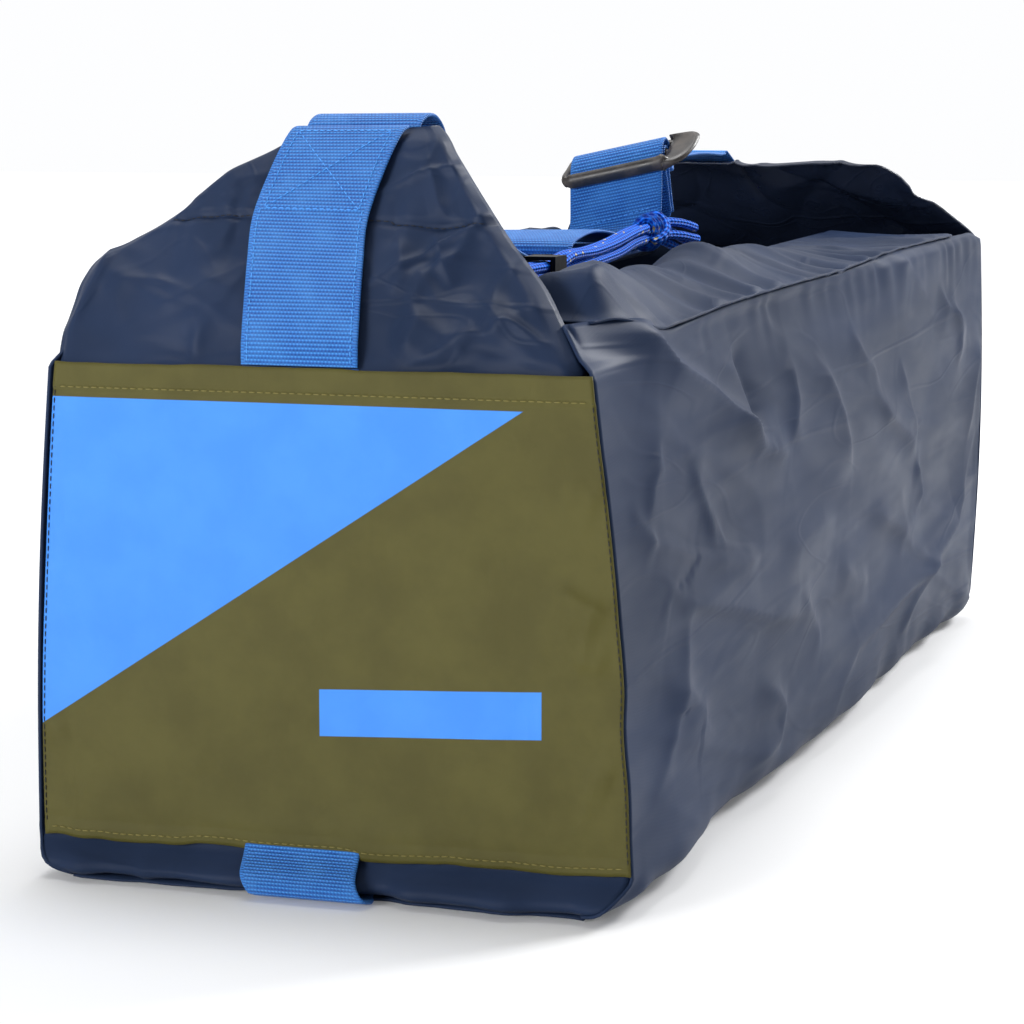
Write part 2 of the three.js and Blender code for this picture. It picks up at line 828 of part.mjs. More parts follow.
function mouthFlap() {
  const steps = 8;
  const grid = [];
  for (let i = 0; i <= steps; i += 1) {
    grid.push(mouthSection(lerp(mouthFarEnd, mouthNearEnd, i / steps)));
  }
  return slab(grid, mouthThick, 0.5);
}

add('right_mouth_flap', mouthFlap(), navyCloth());
add('left_mouth_flap', mirrored(mouthFlap()), navyCloth());

// Two cords lie side by side in each channel, sewn down at its far end
function channelCord(side, place) {
  const at = (y) => {
    const hem = mouthHem(y);
    return vec(side * hem.x + place * channelCordSpread, y, hem.z - channelCordDrop);
  };
  const path = new THREE.LineCurve3(at(mouthNearEnd), at(mouthFarEnd));
  const outline = circleOutline(cordRadius, cordSides);
  const shape = new THREE.Shape(outline.map(([a, b]) => new THREE.Vector2(a, b)));
  return new THREE.ExtrudeGeometry(shape, { steps: 1, extrudePath: path, bevelEnabled: false });
}

const channelPlaces = [
  ['right_inner', 1, -1],
  ['right_outer', 1, 1],
  ['left_inner', -1, 1],
  ['left_outer', -1, -1],
];
for (const [name, side, place] of channelPlaces) {
  add(`channel_cord_${name}`, channelCord(side, place), blueCord());
}

// Free drawcord: hand-laid routes from the channel ends, through the cord lock, to the knot
const strandRoutes = {
  right_outer: [
    [56.6, -335.6, 227.1], [56.4, -342, 227.6], [55, -349, 231.5], [52.8, -350.5, 240], [50.2, -345, 248],
    [47.5, -332, 251.8], [44.4, -310, 250.4], [41.2, -284, 246.8], [39.4, -262, 245.1], [39.2, -248, 244.9],
    [39.2, -222, 244.9], [39.2, -188, 244.9], [38.7, -168, 247.4], [38.1, -130, 250.2], [37.2, -90, 252.6],
    [36.2, -55, 255.2], [35.6, -26, 256.2],
  ],
  right_inner: [
    [51.4, -335.6, 227.1], [51.2, -341.5, 227.6], [49.8, -348.5, 231.5], [47.6, -350, 237], [45.2, -345, 242],
    [43, -332, 245.2], [41, -310, 244.6], [39.7, -284, 241.6], [39.2, -262, 240.3], [39.2, -248, 240.1],
    [39.2, -222, 240.1], [39.2, -188, 240.1], [39.3, -168, 241.2], [39.2, -130, 244], [38.2, -90, 246.6],
    [36.6, -55, 249.6], [35.6, -26, 250.8],
  ],
  left_inner: [
    [-51.4, -335.6, 227.1], [-51.2, -341, 226.8], [-45, -348.5, 226.6], [-30, -349.5, 227.6], [-10, -344, 229.6],
    [10, -330, 233], [24, -308, 237.8], [31.2, -285, 242.2], [33.8, -262, 244.7], [34, -248, 244.9],
    [34, -222, 244.9], [34, -188, 244.9], [33.6, -168, 247.4], [33, -130, 250.2], [32, -90, 252.6],
    [31, -55, 255.2], [30.4, -26, 256.2],
  ],
  left_outer: [
    [-56.6, -335.6, 227.1], [-56.6, -344, 226.8], [-49, -355, 226.5], [-30, -357.5, 226.6], [-8, -352, 227],
    [12, -338.5, 228.2], [26, -314, 230.6], [32, -288, 236.4], [33.9, -264, 239.8], [34, -248, 240.1],
    [34, -222, 240.1], [34, -188, 240.1], [34, -168, 241.2], [33.8, -130, 244], [32.8, -90, 246.6],
    [31.2, -55, 249.6], [30.4, -26, 250.8],
  ],
};
const cordStep = cordRadius * 5;
const routePoint = ([x, y, z]) => vec(
  x,
  y - (bagLength - routeBagLength) / 2,
  z + nearShoulderHeight - routeShoulderHeight,
);
for (const [name, route] of Object.entries(strandRoutes)) {
  add(`drawcord_${name}`, sweptRod(route.map(routePoint), cordRadius, cordSides, cordStep), blueCord());
}

// The knot's near face meets the strands, and the four tails leave its far face
const knotCentre = vec(knotSide, knotAlong, nearShoulderHeight + knotRise);
const knotProfileShares = [
  [0, 0],
  [0.8, 0],
  [1, 0.2],
  [1, 0.8],
  [0.8, 1],
  [0, 1],
];

function knot() {
  const at = ([out, along]) => new THREE.Vector2(out * knotWidth / 2, (along - 0.5) * knotLength);
  const profile = knotProfileShares.map(at);
  const geometry = new THREE.LatheGeometry(profile, 12);
  geometry.scale(1, 1, knotHeight / knotWidth);
  geometry.translate(knotCentre.x, knotCentre.y, knotCentre.z);
  return geometry;
}

const tailRoutes = [
  [[36.4, -8, 257.8], [37.2, 0, 258], [39, 16, 257], [40.8, 30, 255.2], [42, 42, 253.4]],
  [[36.4, -8, 252], [37.8, 0, 251.8], [40.6, 16, 250.6], [42.6, 29, 249.2], [43.8, 40, 248]],
  [[31, -8, 257], [31.8, 0, 256.2], [34.2, 16, 252.6], [36.4, 30, 249.2], [37.4, 39, 247]],
  [[31, -8, 251], [32.2, 0, 249.6], [34.6, 12, 246.4], [36.6, 24, 243.4], [37.8, 33, 241.6]],
];
add('drawcord_knot', knot(), blueCord());
tailRoutes.forEach((route, i) => {
  add(`drawcord_tail_${i + 1}`, sweptRod(route.map(routePoint), cordRadius, cordSides, cordStep), blueCord());
});

// Cord lock: a barrel on the strands, with a sprung button in a well in its underside
const lockCentre = vec(lockSide, lockAlong, lockHeight);
const lockTop = lockHeight + lockBore / 2 + lockWall;
const wellRoof = lockHeight - lockBore / 2 - lockWall;
const lockUnderside = wellRoof - lockWell;

function lockBody() {
  const height = lockTop - lockUnderside;
  const body = new THREE.BoxGeometry(lockWidth, lockDepth, height);
  body.translate(lockCentre.x, lockCentre.y, centreOf(lockUnderside, lockTop));
  const bore = new THREE.BoxGeometry(lockBore, lockDepth * 2, lockBore);
  bore.translate(lockCentre.x, lockCentre.y, lockHeight);
  const well = new THREE.CylinderGeometry(lockSpringRadius + lockWall, lockSpringRadius + lockWall, lockWell * 2, 16);
  well.rotateX(Math.PI / 2);
  well.translate(lockCentre.x, lockCentre.y, lockUnderside);
  return fromSolid(toSolid(body).subtract(toSolid(bore)).subtract(toSolid(well)));
}

const buttonRest = lockUnderside - buttonTravel - seamGap;

function lockButton() {
  const stemTop = wellRoof - buttonTravel - seamGap;
  const profile = [
    new THREE.Vector2(0, buttonRest - buttonHead),
    new THREE.Vector2(buttonRadius, buttonRest - buttonHead),
    new THREE.Vector2(buttonRadius, buttonRest),
    new THREE.Vector2(buttonStemRadius, buttonRest),
    new THREE.Vector2(buttonStemRadius, stemTop),
    new THREE.Vector2(0, stemTop),
  ];
  const geometry = new THREE.LatheGeometry(profile, 16);
  geometry.rotateX(Math.PI / 2);
  geometry.translate(lockCentre.x, lockCentre.y, 0);
  return geometry;
}

function lockSpring() {
  const low = buttonRest + springWire + seamGap;
  const high = wellRoof - springWire - seamGap;
  const steps = springTurns * 8;
  const points = [];
  for (let i = 0; i <= steps; i += 1) {
    const angle = i / 8 * Math.PI * 2;
    points.push(vec(
      lockCentre.x + lockSpringRadius * Math.cos(angle),
      lockCentre.y + lockSpringRadius * Math.sin(angle),
      lerp(low, high, i / steps),
    ));
  }
  return sweptRod(points, springWire, 5, lockSpringRadius * Math.PI / 4);
}

add('cord_lock_body', lockBody(), blackPlastic());
add('cord_lock_button', lockButton(), blackPlastic());
add('cord_lock_spring', lockSpring(), metal(0xb8bcc0));

// Contents: the pole bag lies on the base, with the rolled canopy on top
const poleBagFloor = channelRise + clothThick + packGap;
const poleBagTop = poleBagFloor + poleBagHeight;
const canopyBottom = poleBagTop + packGap * 2 + tieThick;
const canopyCentre = centreOf(canopyTop, canopyBottom);
const canopyHalfHeight = (canopyTop - canopyBottom) / 2;

function roundedBox(width, height, floor, centreX, corner) {
  const half = width / 2 - corner;
  const points = [];
  const corners = [
    [half, floor + corner, -90],
    [half, floor + height - corner, 0],
    [-half, floor + height - corner, 90],
    [-half, floor + corner, 180],
  ];
  for (const [x, z, start] of corners) {
    for (const step of [0, 30, 60, 90]) {
      const angle = radians(start + step);
      points.push([centreX + x + corner * Math.cos(angle), z + corner * Math.sin(angle)]);
    }
  }
  return points;
}

// A long cloth bag, open at its near end
function longBag(width, height, length, wall, floor, centreX, corner) {
  const outside = standingPlate(roundedBox(width, height, floor, centreX, corner), -length / 2, length / 2);
  const inside = standingPlate(
    roundedBox(width - wall * 2, height - wall * 2, floor + wall, centreX, corner - wall),
    -length / 2 - wall,
    length / 2 - wall,
  );
  return fromSolid(toSolid(outside).subtract(toSolid(inside)));
}

const poleCentreX = endStrapOffset;
const poleBag = longBag(poleBagWidth, poleBagHeight, poleBagLength, poleBagWall, poleBagFloor, poleCentreX, poleBagCorner);
add('pole_bag', poleBag, greyCloth());

function poleSection() {
  const half = poleLength / 2;
  const profile = [
    new THREE.Vector2(0, -half),
    new THREE.Vector2(poleRadius, -half),
    new THREE.Vector2(poleRadius, half - ferruleLength),
    new THREE.Vector2(ferruleRadius, half - ferruleLength),
    new THREE.Vector2(ferruleRadius, half),
    new THREE.Vector2(0, half),
  ];
  return new THREE.LatheGeometry(profile, 12);
}

// The sections lie in rows that nest in the hollows of the row below
const polePitch = poleRadius * 2 + packGap;
const poleRowRise = polePitch * Math.sin(radians(60));
const poleFloor = poleBagFloor + poleBagWall + packGap + poleRadius;
for (let row = 0; row < poleRows; row += 1) {
  for (let i = 0; i < polesAcross; i += 1) {
    const pole = add(`pole_section_${row * polesAcross + i + 1}`, poleSection(), metal(0x9aa0a6));
    const nested = row * polePitch / 2;
    pole.position.set(
      poleCentreX + (i - (polesAcross - 1) / 2) * polePitch + nested - polePitch / 4,
      0,
      poleFloor + row * poleRowRise,
    );
  }
}

function canopyRoll() {
  const half = canopyLength / 2;
  const round = [];
  const steps = 4;
  for (let i = 0; i <= steps; i += 1) {
    const angle = i / steps * Math.PI / 2;
    round.push([
      canopyHalfWidth - canopyEndRound * (1 - Math.sin(angle)),
      -half + canopyEndRound * (1 - Math.cos(angle)),
    ]);
  }
  const near = [[0, -half], ...round];
  const far = near.map(([r, along]) => [r, -along]).reverse();
  const geometry = new THREE.LatheGeometry([...near, ...far].map(([r, along]) => new THREE.Vector2(r, along)), 28);
  geometry.scale(1, 1, canopyHalfHeight / canopyHalfWidth);
  geometry.translate(0, 0, canopyCentre);
  return geometry;
}

function canopyTie(y) {
  const inner = canopyHalfWidth + packGap;
  const innerStretch = (canopyHalfHeight + packGap) / inner;
  const outer = inner + tieThick;
  const outerStretch = (canopyHalfHeight + packGap + tieThick) / outer;
  return standingPlate(
    circleOutline(outer, 28, 0, canopyCentre, outerStretch),
    y - tieWidth / 2,
    y + tieWidth / 2,
    circleOutline(inner, 28, 0, canopyCentre, innerStretch),
  );
}

add('canopy_roll', canopyRoll(), greyCloth());
add('canopy_tie_near', canopyTie(-tieSpacing / 2), blackPlastic());
add('canopy_tie_far', canopyTie(tieSpacing / 2), blackPlastic());

// Pegs in their bag, on the right of the pole bag
const sideFloor = clothThick + packGap;
const pegCentreX = poleCentreX + poleBagWidth / 2 + pegBagWidth / 2 + packGap;
const pegBagFloor = sideFloor + channelRise;
const pegBag = longBag(pegBagWidth, pegBagHeight, pegBagLength, pegBagWall, pegBagFloor, pegCentreX, pegBagCorner);
add('peg_bag', pegBag, greyCloth());

function peg() {
  const tip = -pegLength / 2;
  const dip = pegWing * pegDipShare;
  const edge = pegThick * pegEdgeShare;
  const outline = [
    [-pegWing, 0],
    [0, -dip],
    [pegWing, 0],
    [pegWing - edge, pegThick],
    [0, -dip + pegThick * pegRootShare],
    [-pegWing + edge, pegThick],
  ];
  const bar = standingPlate(outline, tip, pegLength / 2);
  const plan = new THREE.Shape();
  plan.moveTo(-pegThick, tip);
  plan.lineTo(pegThick, tip);
  plan.lineTo(pegWing, tip + pegPoint);
  plan.lineTo(pegWing, pegLength / 2);
  plan.lineTo(-pegWing, pegLength / 2);
  plan.lineTo(-pegWing, tip + pegPoint);
  plan.closePath();
  const pointed = new THREE.ExtrudeGeometry(plan, { depth: pegWing * 2, bevelEnabled: false });
  pointed.translate(0, 0, -pegWing);
  return fromSolid(toSolid(bar).intersect(toSolid(pointed)));
}

const pegStackPitch = pegThick * pegStackShare + packGap;
const pegStackFloor = pegBagFloor + pegBagWall + packGap + pegWing * pegDipShare;
for (let i = 0; i < pegCount; i += 1) {
  const one = add(`ground_peg_${i + 1}`, peg(), metal(0xc9a23a));
  one.position.set(pegCentreX, 0, pegStackFloor + i * pegStackPitch);
}

// Folded vehicle straps with their hooks, on the left of the pole bag
function foldedStrap() {
  const radius = (vehicleStrapThick + packGap * 2) / 2;
  const half = vehicleStrapFold / 2 - radius;
  const stations = [];
  for (let i = 0; i < vehicleStrapTurns; i += 1) {
    const z = i * radius * 2;
    const sign = i % 2 === 0 ? 1 : -1;
    stations.push({ x: 0, y: -sign * half, z });
    stations.push({ x: 0, y: sign * half, z });
    if (i < vehicleStrapTurns - 1) {
      for (const angle of [-30, 30]) {
        stations.push({
          x: 0,
          y: sign * (half + radius * Math.cos(radians(angle))),
          z: z + radius + radius * Math.sin(radians(angle)),
        });
      }
    }
  }
  return webbing(stations, vehicleStrapWidth, vehicleStrapThick);
}

function hook() {
  const points = [vec(0, hookShank, 0)];
  points.push(vec(0, 0, 0));
  for (let i = 1; i <= 6; i += 1) {
    const angle = radians(hookTurnAngle) * i / 6;
    points.push(vec(hookRadius * (1 - Math.cos(angle)), -hookRadius * Math.sin(angle), 0));
  }
  return sweptRod(points, hookRodRadius, 8, hookRodRadius * 2);
}

const strapPlaceX = poleCentreX - poleBagWidth / 2 - vehicleStrapWidth / 2 - packGap;
const strapPlaceZ = sideFloor + channelRise + vehicleStrapThick / 2;
const strapStackHeight = (vehicleStrapTurns - 1) * (vehicleStrapThick + packGap * 2) + vehicleStrapThick;
for (const [name, side] of [['near', -1], ['far', 1]]) {
  const strap = add(`vehicle_strap_${name}`, foldedStrap(), blackPlastic());
  strap.position.set(strapPlaceX, side * sideLoadInset, strapPlaceZ);
  const metalHook = add(`vehicle_hook_${name}`, hook(), metal(0x8d9196));
  metalHook.position.set(
    strapPlaceX + vehicleStrapWidth / 2 - hookRadius * 2 - hookRodRadius,
    side * sideLoadInset,
    strapPlaceZ - vehicleStrapThick / 2 + strapStackHeight + packGap + hookRodRadius,
  );
}

export default awning;
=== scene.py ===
"""Packed vehicle side awning: soft carry bag, webbing strap, slider and drawcord."""
import bmesh
import bpy
import math
import numpy as np
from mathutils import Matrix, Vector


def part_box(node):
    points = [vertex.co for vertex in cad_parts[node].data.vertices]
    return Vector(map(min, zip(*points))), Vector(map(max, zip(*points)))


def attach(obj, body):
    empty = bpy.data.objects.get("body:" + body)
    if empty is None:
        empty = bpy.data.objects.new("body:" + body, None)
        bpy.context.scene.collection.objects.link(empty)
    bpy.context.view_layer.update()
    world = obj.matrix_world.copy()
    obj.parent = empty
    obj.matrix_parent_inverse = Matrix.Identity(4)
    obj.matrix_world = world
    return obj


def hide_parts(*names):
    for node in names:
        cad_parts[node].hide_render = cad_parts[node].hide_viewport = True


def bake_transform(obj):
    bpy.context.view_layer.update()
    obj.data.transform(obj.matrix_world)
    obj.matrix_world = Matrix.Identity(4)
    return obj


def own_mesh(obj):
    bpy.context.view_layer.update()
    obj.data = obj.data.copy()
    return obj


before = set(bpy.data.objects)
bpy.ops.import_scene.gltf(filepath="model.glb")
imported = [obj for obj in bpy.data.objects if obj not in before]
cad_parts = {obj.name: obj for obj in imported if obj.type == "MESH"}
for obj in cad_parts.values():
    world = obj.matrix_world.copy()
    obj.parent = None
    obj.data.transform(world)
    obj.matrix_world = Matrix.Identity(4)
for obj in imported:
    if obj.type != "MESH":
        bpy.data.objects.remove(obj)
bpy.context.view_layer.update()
MM = 0.001
TAU = 2 * math.pi

# Sizes of the bag in millimetres. Pairs run from the near end to the far one, or from bottom to top
NEAR, FAR = -377.0, 377.0
CORNER, BASE_GAP = 16.0, 0.6
NEAR_PULL, FAR_PULL = 6.0, 14.0
SIDE_ARC, END_ARC = 0.085, 0.09
BASE_HALF, SHOULDER_HALF, BULGE, BULGE_FOOT = (126, 130), (115, 132), 8, 14
LIP_OUT, LIP_Z, LIP_HEIGHT = 13.0, 5, 7.5
LABEL_BOTTOM, LABEL_TOP, LABEL_FACE = 17.3, 213.6, -379.6
LABEL_LEFT, LABEL_RIGHT, LABEL_ARCH = (123.5, 115), (128.5, 112.2), 2.5
FLAP_FOOT, FLAP_BEND, FLAP_TOP_ROLL = 212.4, 300.0, 6.2
FLAP_SEAM, FLAP_FACE, FLAP_LEAN = 214.8, -376.6, 0.593
FAR_FLAP_Z, FAR_FLAP_Y = (225.2, 281.5), (377.0, 303.5)
MOUTH_NEAR, MOUTH_FAR = -334.6, 290.0
HEM_X, HEM_R, HEM_TOP = 54.0, 6.4, (230, 238)
WEBBING_X = -9.0
CORD_R = 2.3
STRAP_X, ROLL = 6.0, 12.0


# Numbers
def lerp(a, b, t):
    return a + (b - a) * t


def smooth(t):
    t = np.clip(t, 0, 1)
    return t * t * (3 - 2 * t)


def bell(x, middle, width, power=2):
    """1 at the middle, falling off on both sides."""
    return np.exp(-(np.abs(x - middle) / width) ** power)


def hermite(t, h, a, slope_a, b, slope_b):
    return ((2 * t**3 - 3 * t**2 + 1) * a + (t**3 - 2 * t**2 + t) * h * slope_a
            + (-2 * t**3 + 3 * t**2) * b + (t**3 - t**2) * h * slope_b)


def along(table, x):
    """Smooth interpolation of a table of (x, value)."""
    xs, ys = np.array(table, float).T
    x = np.clip(np.asarray(x, float), xs[0], xs[-1])
    m = np.gradient(ys, xs)
    i = np.clip(np.searchsorted(xs, x) - 1, 0, len(xs) - 2)
    h = xs[i + 1] - xs[i]
    return hermite((x - xs[i]) / h, h, ys[i], m[i], ys[i + 1], m[i + 1])


def scatter(i, j, seed):
    """A fixed value from -1 to 1 for each whole i and j."""
    h = (i.astype(np.int64) * 374761393 + j.astype(np.int64) * 668265263 + seed * 1442695041) & 0xFFFFFFFF
    h = ((h ^ (h >> 13)) * 1274126177) & 0xFFFFFFFF
    return ((h ^ (h >> 16)) & 0xFFFF) / 32767.5 - 1.0


def noise(x, y, seed=0):
    x, y = np.broadcast_arrays(np.asarray(x, float), np.asarray(y, float))
    i, j = np.floor(x), np.floor(y)
    ux, uy = [f**3 * (f * (f * 6 - 15) + 10) for f in (x - i, y - j)]
    low = lerp(scatter(i, j, seed), scatter(i + 1, j, seed), ux)
    return lerp(low, lerp(scatter(i, j + 1, seed), scatter(i + 1, j + 1, seed), ux), uy)


def creases(x, y, size, seed, angle, stretch, narrow):
    """Long narrow folds along one direction, with flatter cloth between. About -0.3 to 1."""
    ca, sa = math.cos(angle), math.sin(angle)
    p = (x * ca + y * sa) / (size * stretch)
    q = (-x * sa + y * ca) / size
    q = q + 0.35 * noise(p * 0.8, q * 0.5, seed + 5)
    n = noise(p, q, seed)
    strength = np.clip(0.65 + 0.9 * noise(p * 0.9, q * 0.9, seed + 9), 0, 1.3)
    line = np.exp(-narrow * (np.sqrt(n * n + 0.0025) - 0.05))
    return line * strength + 0.5 * n - 0.25


def crumple(x, y, *layers):
    """Creases added up. Each layer is its height and what creases takes."""
    return sum(height * creases(x, y, *rest) for height, *rest in layers)


def ridge(a, b, points, height, width, skew):
    """A fold of cloth along a polyline of (a, b) points. Positive skew is steeper on its left."""
    fade, power = 0.3, 1.25
    points = np.array(points, float)
    seg = np.diff(points, axis=0)
    lengths = np.hypot(seg[:, 0], seg[:, 1])
    starts = np.concatenate([[0], np.cumsum(lengths)])
    best, side, place = np.full(np.shape(a), 1e9), np.zeros(np.shape(a)), np.zeros(np.shape(a))
    for (pa, pb), (dx, dy), length, start in zip(points, seg / lengths[:, None], lengths, starts):
        t = np.clip((a - pa) * dx + (b - pb) * dy, 0, length)
        oa, ob = a - pa - t * dx, b - pb - t * dy
        d = np.hypot(oa, ob)
        near = d < best
        best = np.where(near, d, best)
        side = np.where(near, np.sign(dx * ob - dy * oa), side)
        place = np.where(near, (start + t) / starts[-1], place)
    ends = smooth(place / fade) * smooth((1 - place) / fade)
    return height * (0.12 + 0.88 * ends) * bell(best, 0, width * (1 - skew * side), power)


def folded(d, a, b, folds, gain=1.0):
    """The relief d with these folds added."""
    for fold in folds:
        d = d + gain * ridge(a, b, *fold)
    return d


def run_length(points):
    """Distance along the points, from 0 at the first."""
    return np.concatenate([[0], np.cumsum(np.linalg.norm(np.diff(points, axis=0), axis=1))])


def sampled(points, at, places):
    """The points' coordinates at places along them."""
    return np.stack([np.interp(places, at, column) for column in points.T], axis=-1)


def resample(points, step):
    """Points on a smooth curve through these, step apart."""
    p = np.array(points, float)
    d = np.sqrt(np.linalg.norm(np.diff(p[:, :3], axis=0), axis=1))
    t = np.concatenate([[0], np.cumsum(np.maximum(d, 1e-6))])
    gap = np.diff(t)[:, None]
    rate = np.diff(p, axis=0) / gap
    middle = (rate[:-1] * gap[1:] + rate[1:] * gap[:-1]) / (t[2:] - t[:-2])[:, None]
    m = np.concatenate([rate[:1], middle, rate[-1:]])
    part = np.linspace(0, 1, 24, endpoint=False)[:, None]
    spans = [hermite(part, gap[k], p[k], m[k], p[k + 1], m[k + 1]) for k in range(len(p) - 1)]
    fine = np.concatenate([*spans, p[-1:]])
    s = run_length(fine[:, :3])
    return sampled(fine, s, np.linspace(0, s[-1], max(2, int(round(s[-1] / step)) + 1)))


def field(us, vs):
    return np.meshgrid(us, vs, indexing="ij")


def stack(x, y, z):
    return np.stack(np.broadcast_arrays(x, y, z), axis=-1)


# Meshes
def unit(v):
    return v / np.maximum(np.linalg.norm(v, axis=-1, keepdims=True), 1e-9)


def normals(P):
    return unit(np.cross(np.gradient(P, axis=0), np.gradient(P, axis=1)))


def new_object(name, verts, faces, cloth=None):
    mesh = bpy.data.meshes.new(name)
    mesh.from_pydata((np.asarray(verts) * MM).tolist(), [], [list(map(int, f)) for f in faces])
    if cloth is not None:
        attribute = mesh.attributes.new("cloth", "FLOAT_VECTOR", "POINT")
        attribute.data.foreach_set("vector", np.asarray(cloth, np.float32).ravel())
    mesh.polygons.foreach_set("use_smooth", [True] * len(mesh.polygons))
    mesh.update()
    obj = bpy.data.objects.new(name, mesh)
    bpy.context.scene.collection.objects.link(obj)
    return obj


def quads(index):
    """Faces over a grid of point numbers."""
    corners = [index[:-1, :-1], index[1:, :-1], index[1:, 1:], index[:-1, 1:]]
    return np.stack(corners, axis=-1).reshape(-1, 4)


def ring_faces(rings, around, first=0, closed=False):
    """Faces between rings of points, with a cap at both ends unless closed."""
    faces = []
    for k in range(rings if closed else rings - 1):
        low, high = first + k * around, first + (k + 1) % rings * around
        for s in range(around):
            t = (s + 1) % around
            faces.append((low + s, low + t, high + t, high + s))
    if not closed:
        faces.append(tuple(first + s for s in reversed(range(around))))
        faces.append(tuple(first + (rings - 1) * around + s for s in range(around)))
    return faces


def shell(name, P, thick, cloth, flip=False, mirror=False):
    """A closed sheet under a grid of outer points, whose normal is du x dv. Flip and mirror turn it."""
    if flip or mirror:
        P, cloth = P[::-1] * np.array([-1.0 if mirror else 1.0, 1, 1]), cloth[::-1]
    count = P.shape[0] * P.shape[1]
    index = np.arange(count).reshape(P.shape[:2])
    top = quads(index)
    border = np.concatenate([index[:, 0], index[-1, 1:], index[-2::-1, -1], index[0, -2::-1]])
    faces = [*top, *(top[:, [0, 3, 2, 1]] + count)]
    faces += [(p + count, q + count, q, p) for p, q in zip(border, border[1:])]
    verts = np.concatenate([P.reshape(-1, 3), (P - normals(P) * thick).reshape(-1, 3)])
    return new_object(name, verts, faces, np.tile(cloth.reshape(-1, 3), (2, 1)))


def tube(name, points, radius, sides=12, step=1.3, closed=False):
    """A round tube along points, with its angle and length as cloth coordinates."""
    path = resample(points, step)
    if closed:
        path = path[:-1]
    n = len(path)
    ahead = np.roll(path, -1, axis=0) - np.roll(path, 1, axis=0)
    if not closed:
        ahead[0], ahead[-1] = path[1] - path[0], path[-1] - path[-2]
    T = unit(ahead)
    ref = np.array([0.0, 0.0, 1.0]) if abs(T[0][2]) < 0.9 else np.array([1.0, 0.0, 0.0])
    U = np.zeros_like(T)
    U[0] = unit(ref - T[0] * np.dot(ref, T[0]))
    for k in range(1, n):
        U[k] = unit(U[k - 1] - T[k] * np.dot(U[k - 1], T[k]))
    if closed:
        # spread the leftover twist over the whole loop
        turn = math.atan2(np.dot(np.cross(U[-1], U[0]), T[0]), np.dot(U[-1], U[0]))
        twist = turn * np.arange(n)[:, None] / n
        U = U * np.cos(twist) + np.cross(T, U) * np.sin(twist)
    angle = np.linspace(0, TAU, sides, endpoint=False)
    a = angle[None, :, None]
    verts = path[:, None, :] + radius * (np.cos(a) * U[:, None, :] + np.sin(a) * np.cross(T, U)[:, None, :])
    cloth = stack(angle[None, :] / TAU, run_length(path)[:, None], 0.0).reshape(-1, 3)
    return new_object(name, verts.reshape(-1, 3), ring_faces(n, sides, closed=closed), cloth), path


def band(name, stations, width=50.0, thick=1.6, step=1.6, across=12):
    """Webbing along stations of x, y, z, roll in degrees and optionally yaw in degrees."""
    path = resample([tuple(s) + (0.0,) * (5 - len(s)) for s in stations], step)
    n = len(path)
    spine, (roll, yaw) = path[:, :3], np.radians(path[:, 3:].T)
    W = unit(stack(np.cos(roll) * np.cos(yaw), np.sin(yaw), np.sin(roll)))
    T = np.gradient(spine, axis=0)
    T = unit(T - W * np.sum(T * W, axis=1, keepdims=True))
    N = np.cross(W, T)
    length = run_length(spine)
    w, t = width / 2, thick / 2
    # the section has rounded edges
    flat = [(x, t) for x in np.linspace(-w + 1.6, w - 1.6, across)]
    top = [(-w + 0.09, 0.0), (-w + 0.5, t * 0.82), *flat, (w - 0.5, t * 0.82), (w - 0.09, 0.0)]
    section = np.array(top + [(x, -h) for x, h in top[1:-1]][::-1])
    x, h = section[None, :, 0, None], section[None, :, 1, None]
    verts = spine[:, None, :] + x * W[:, None, :] + h * N[:, None, :]
    cloth = stack(section[None, :, 0], length[:, None], 0.0).reshape(-1, 3)
    obj = new_object(name, verts.reshape(-1, 3), ring_faces(n, len(section)), cloth)

    def at(x, s, out=1.0):
        """A point on the band's outer face and its normal, x across and s along."""
        k = int(np.clip(np.searchsorted(length, s), 1, n - 1))
        base = lerp(spine[k - 1], spine[k], (s - length[k - 1]) / (length[k] - length[k - 1]))
        return base + W[k] * x + N[k] * (t * out), N[k] * out
    return obj, at, length[-1]


def stitches(name, lines, tone, body, pitch=2.9, length=2.0, radius=0.24):
    """Thread stitches along lines of (points, normals), which ride with the cloth below them."""
    verts, faces = [], []
    sides = 5
    a = np.linspace(0, TAU, sides, endpoint=False)[:, None]
    for points, outward in lines:
        p, q = np.array(points, float), np.array(outward, float)
        s = run_length(p)
        count = int(s[-1] / pitch)
        for i in range(count):
            middle = (i + 0.5) * s[-1] / count
            start, end = sampled(p, s, [middle - length / 2, middle + length / 2])
            out = unit(sampled(q, s, middle))
            side = np.cross(out, unit(end - start))
            faces += ring_faces(4, sides, sides * len(verts))
            for place, r, up in ((0, 0.35, -0.25), (0.2, 1.0, 0.35), (0.8, 1.0, 0.35), (1, 0.35, -0.25)):
                around = np.cos(a) * side + np.sin(a) * out
                verts.append(lerp(start, end, place) + radius * (r * around + up * out))
    return dress(new_object(name, np.concatenate(verts), faces), tone, body)


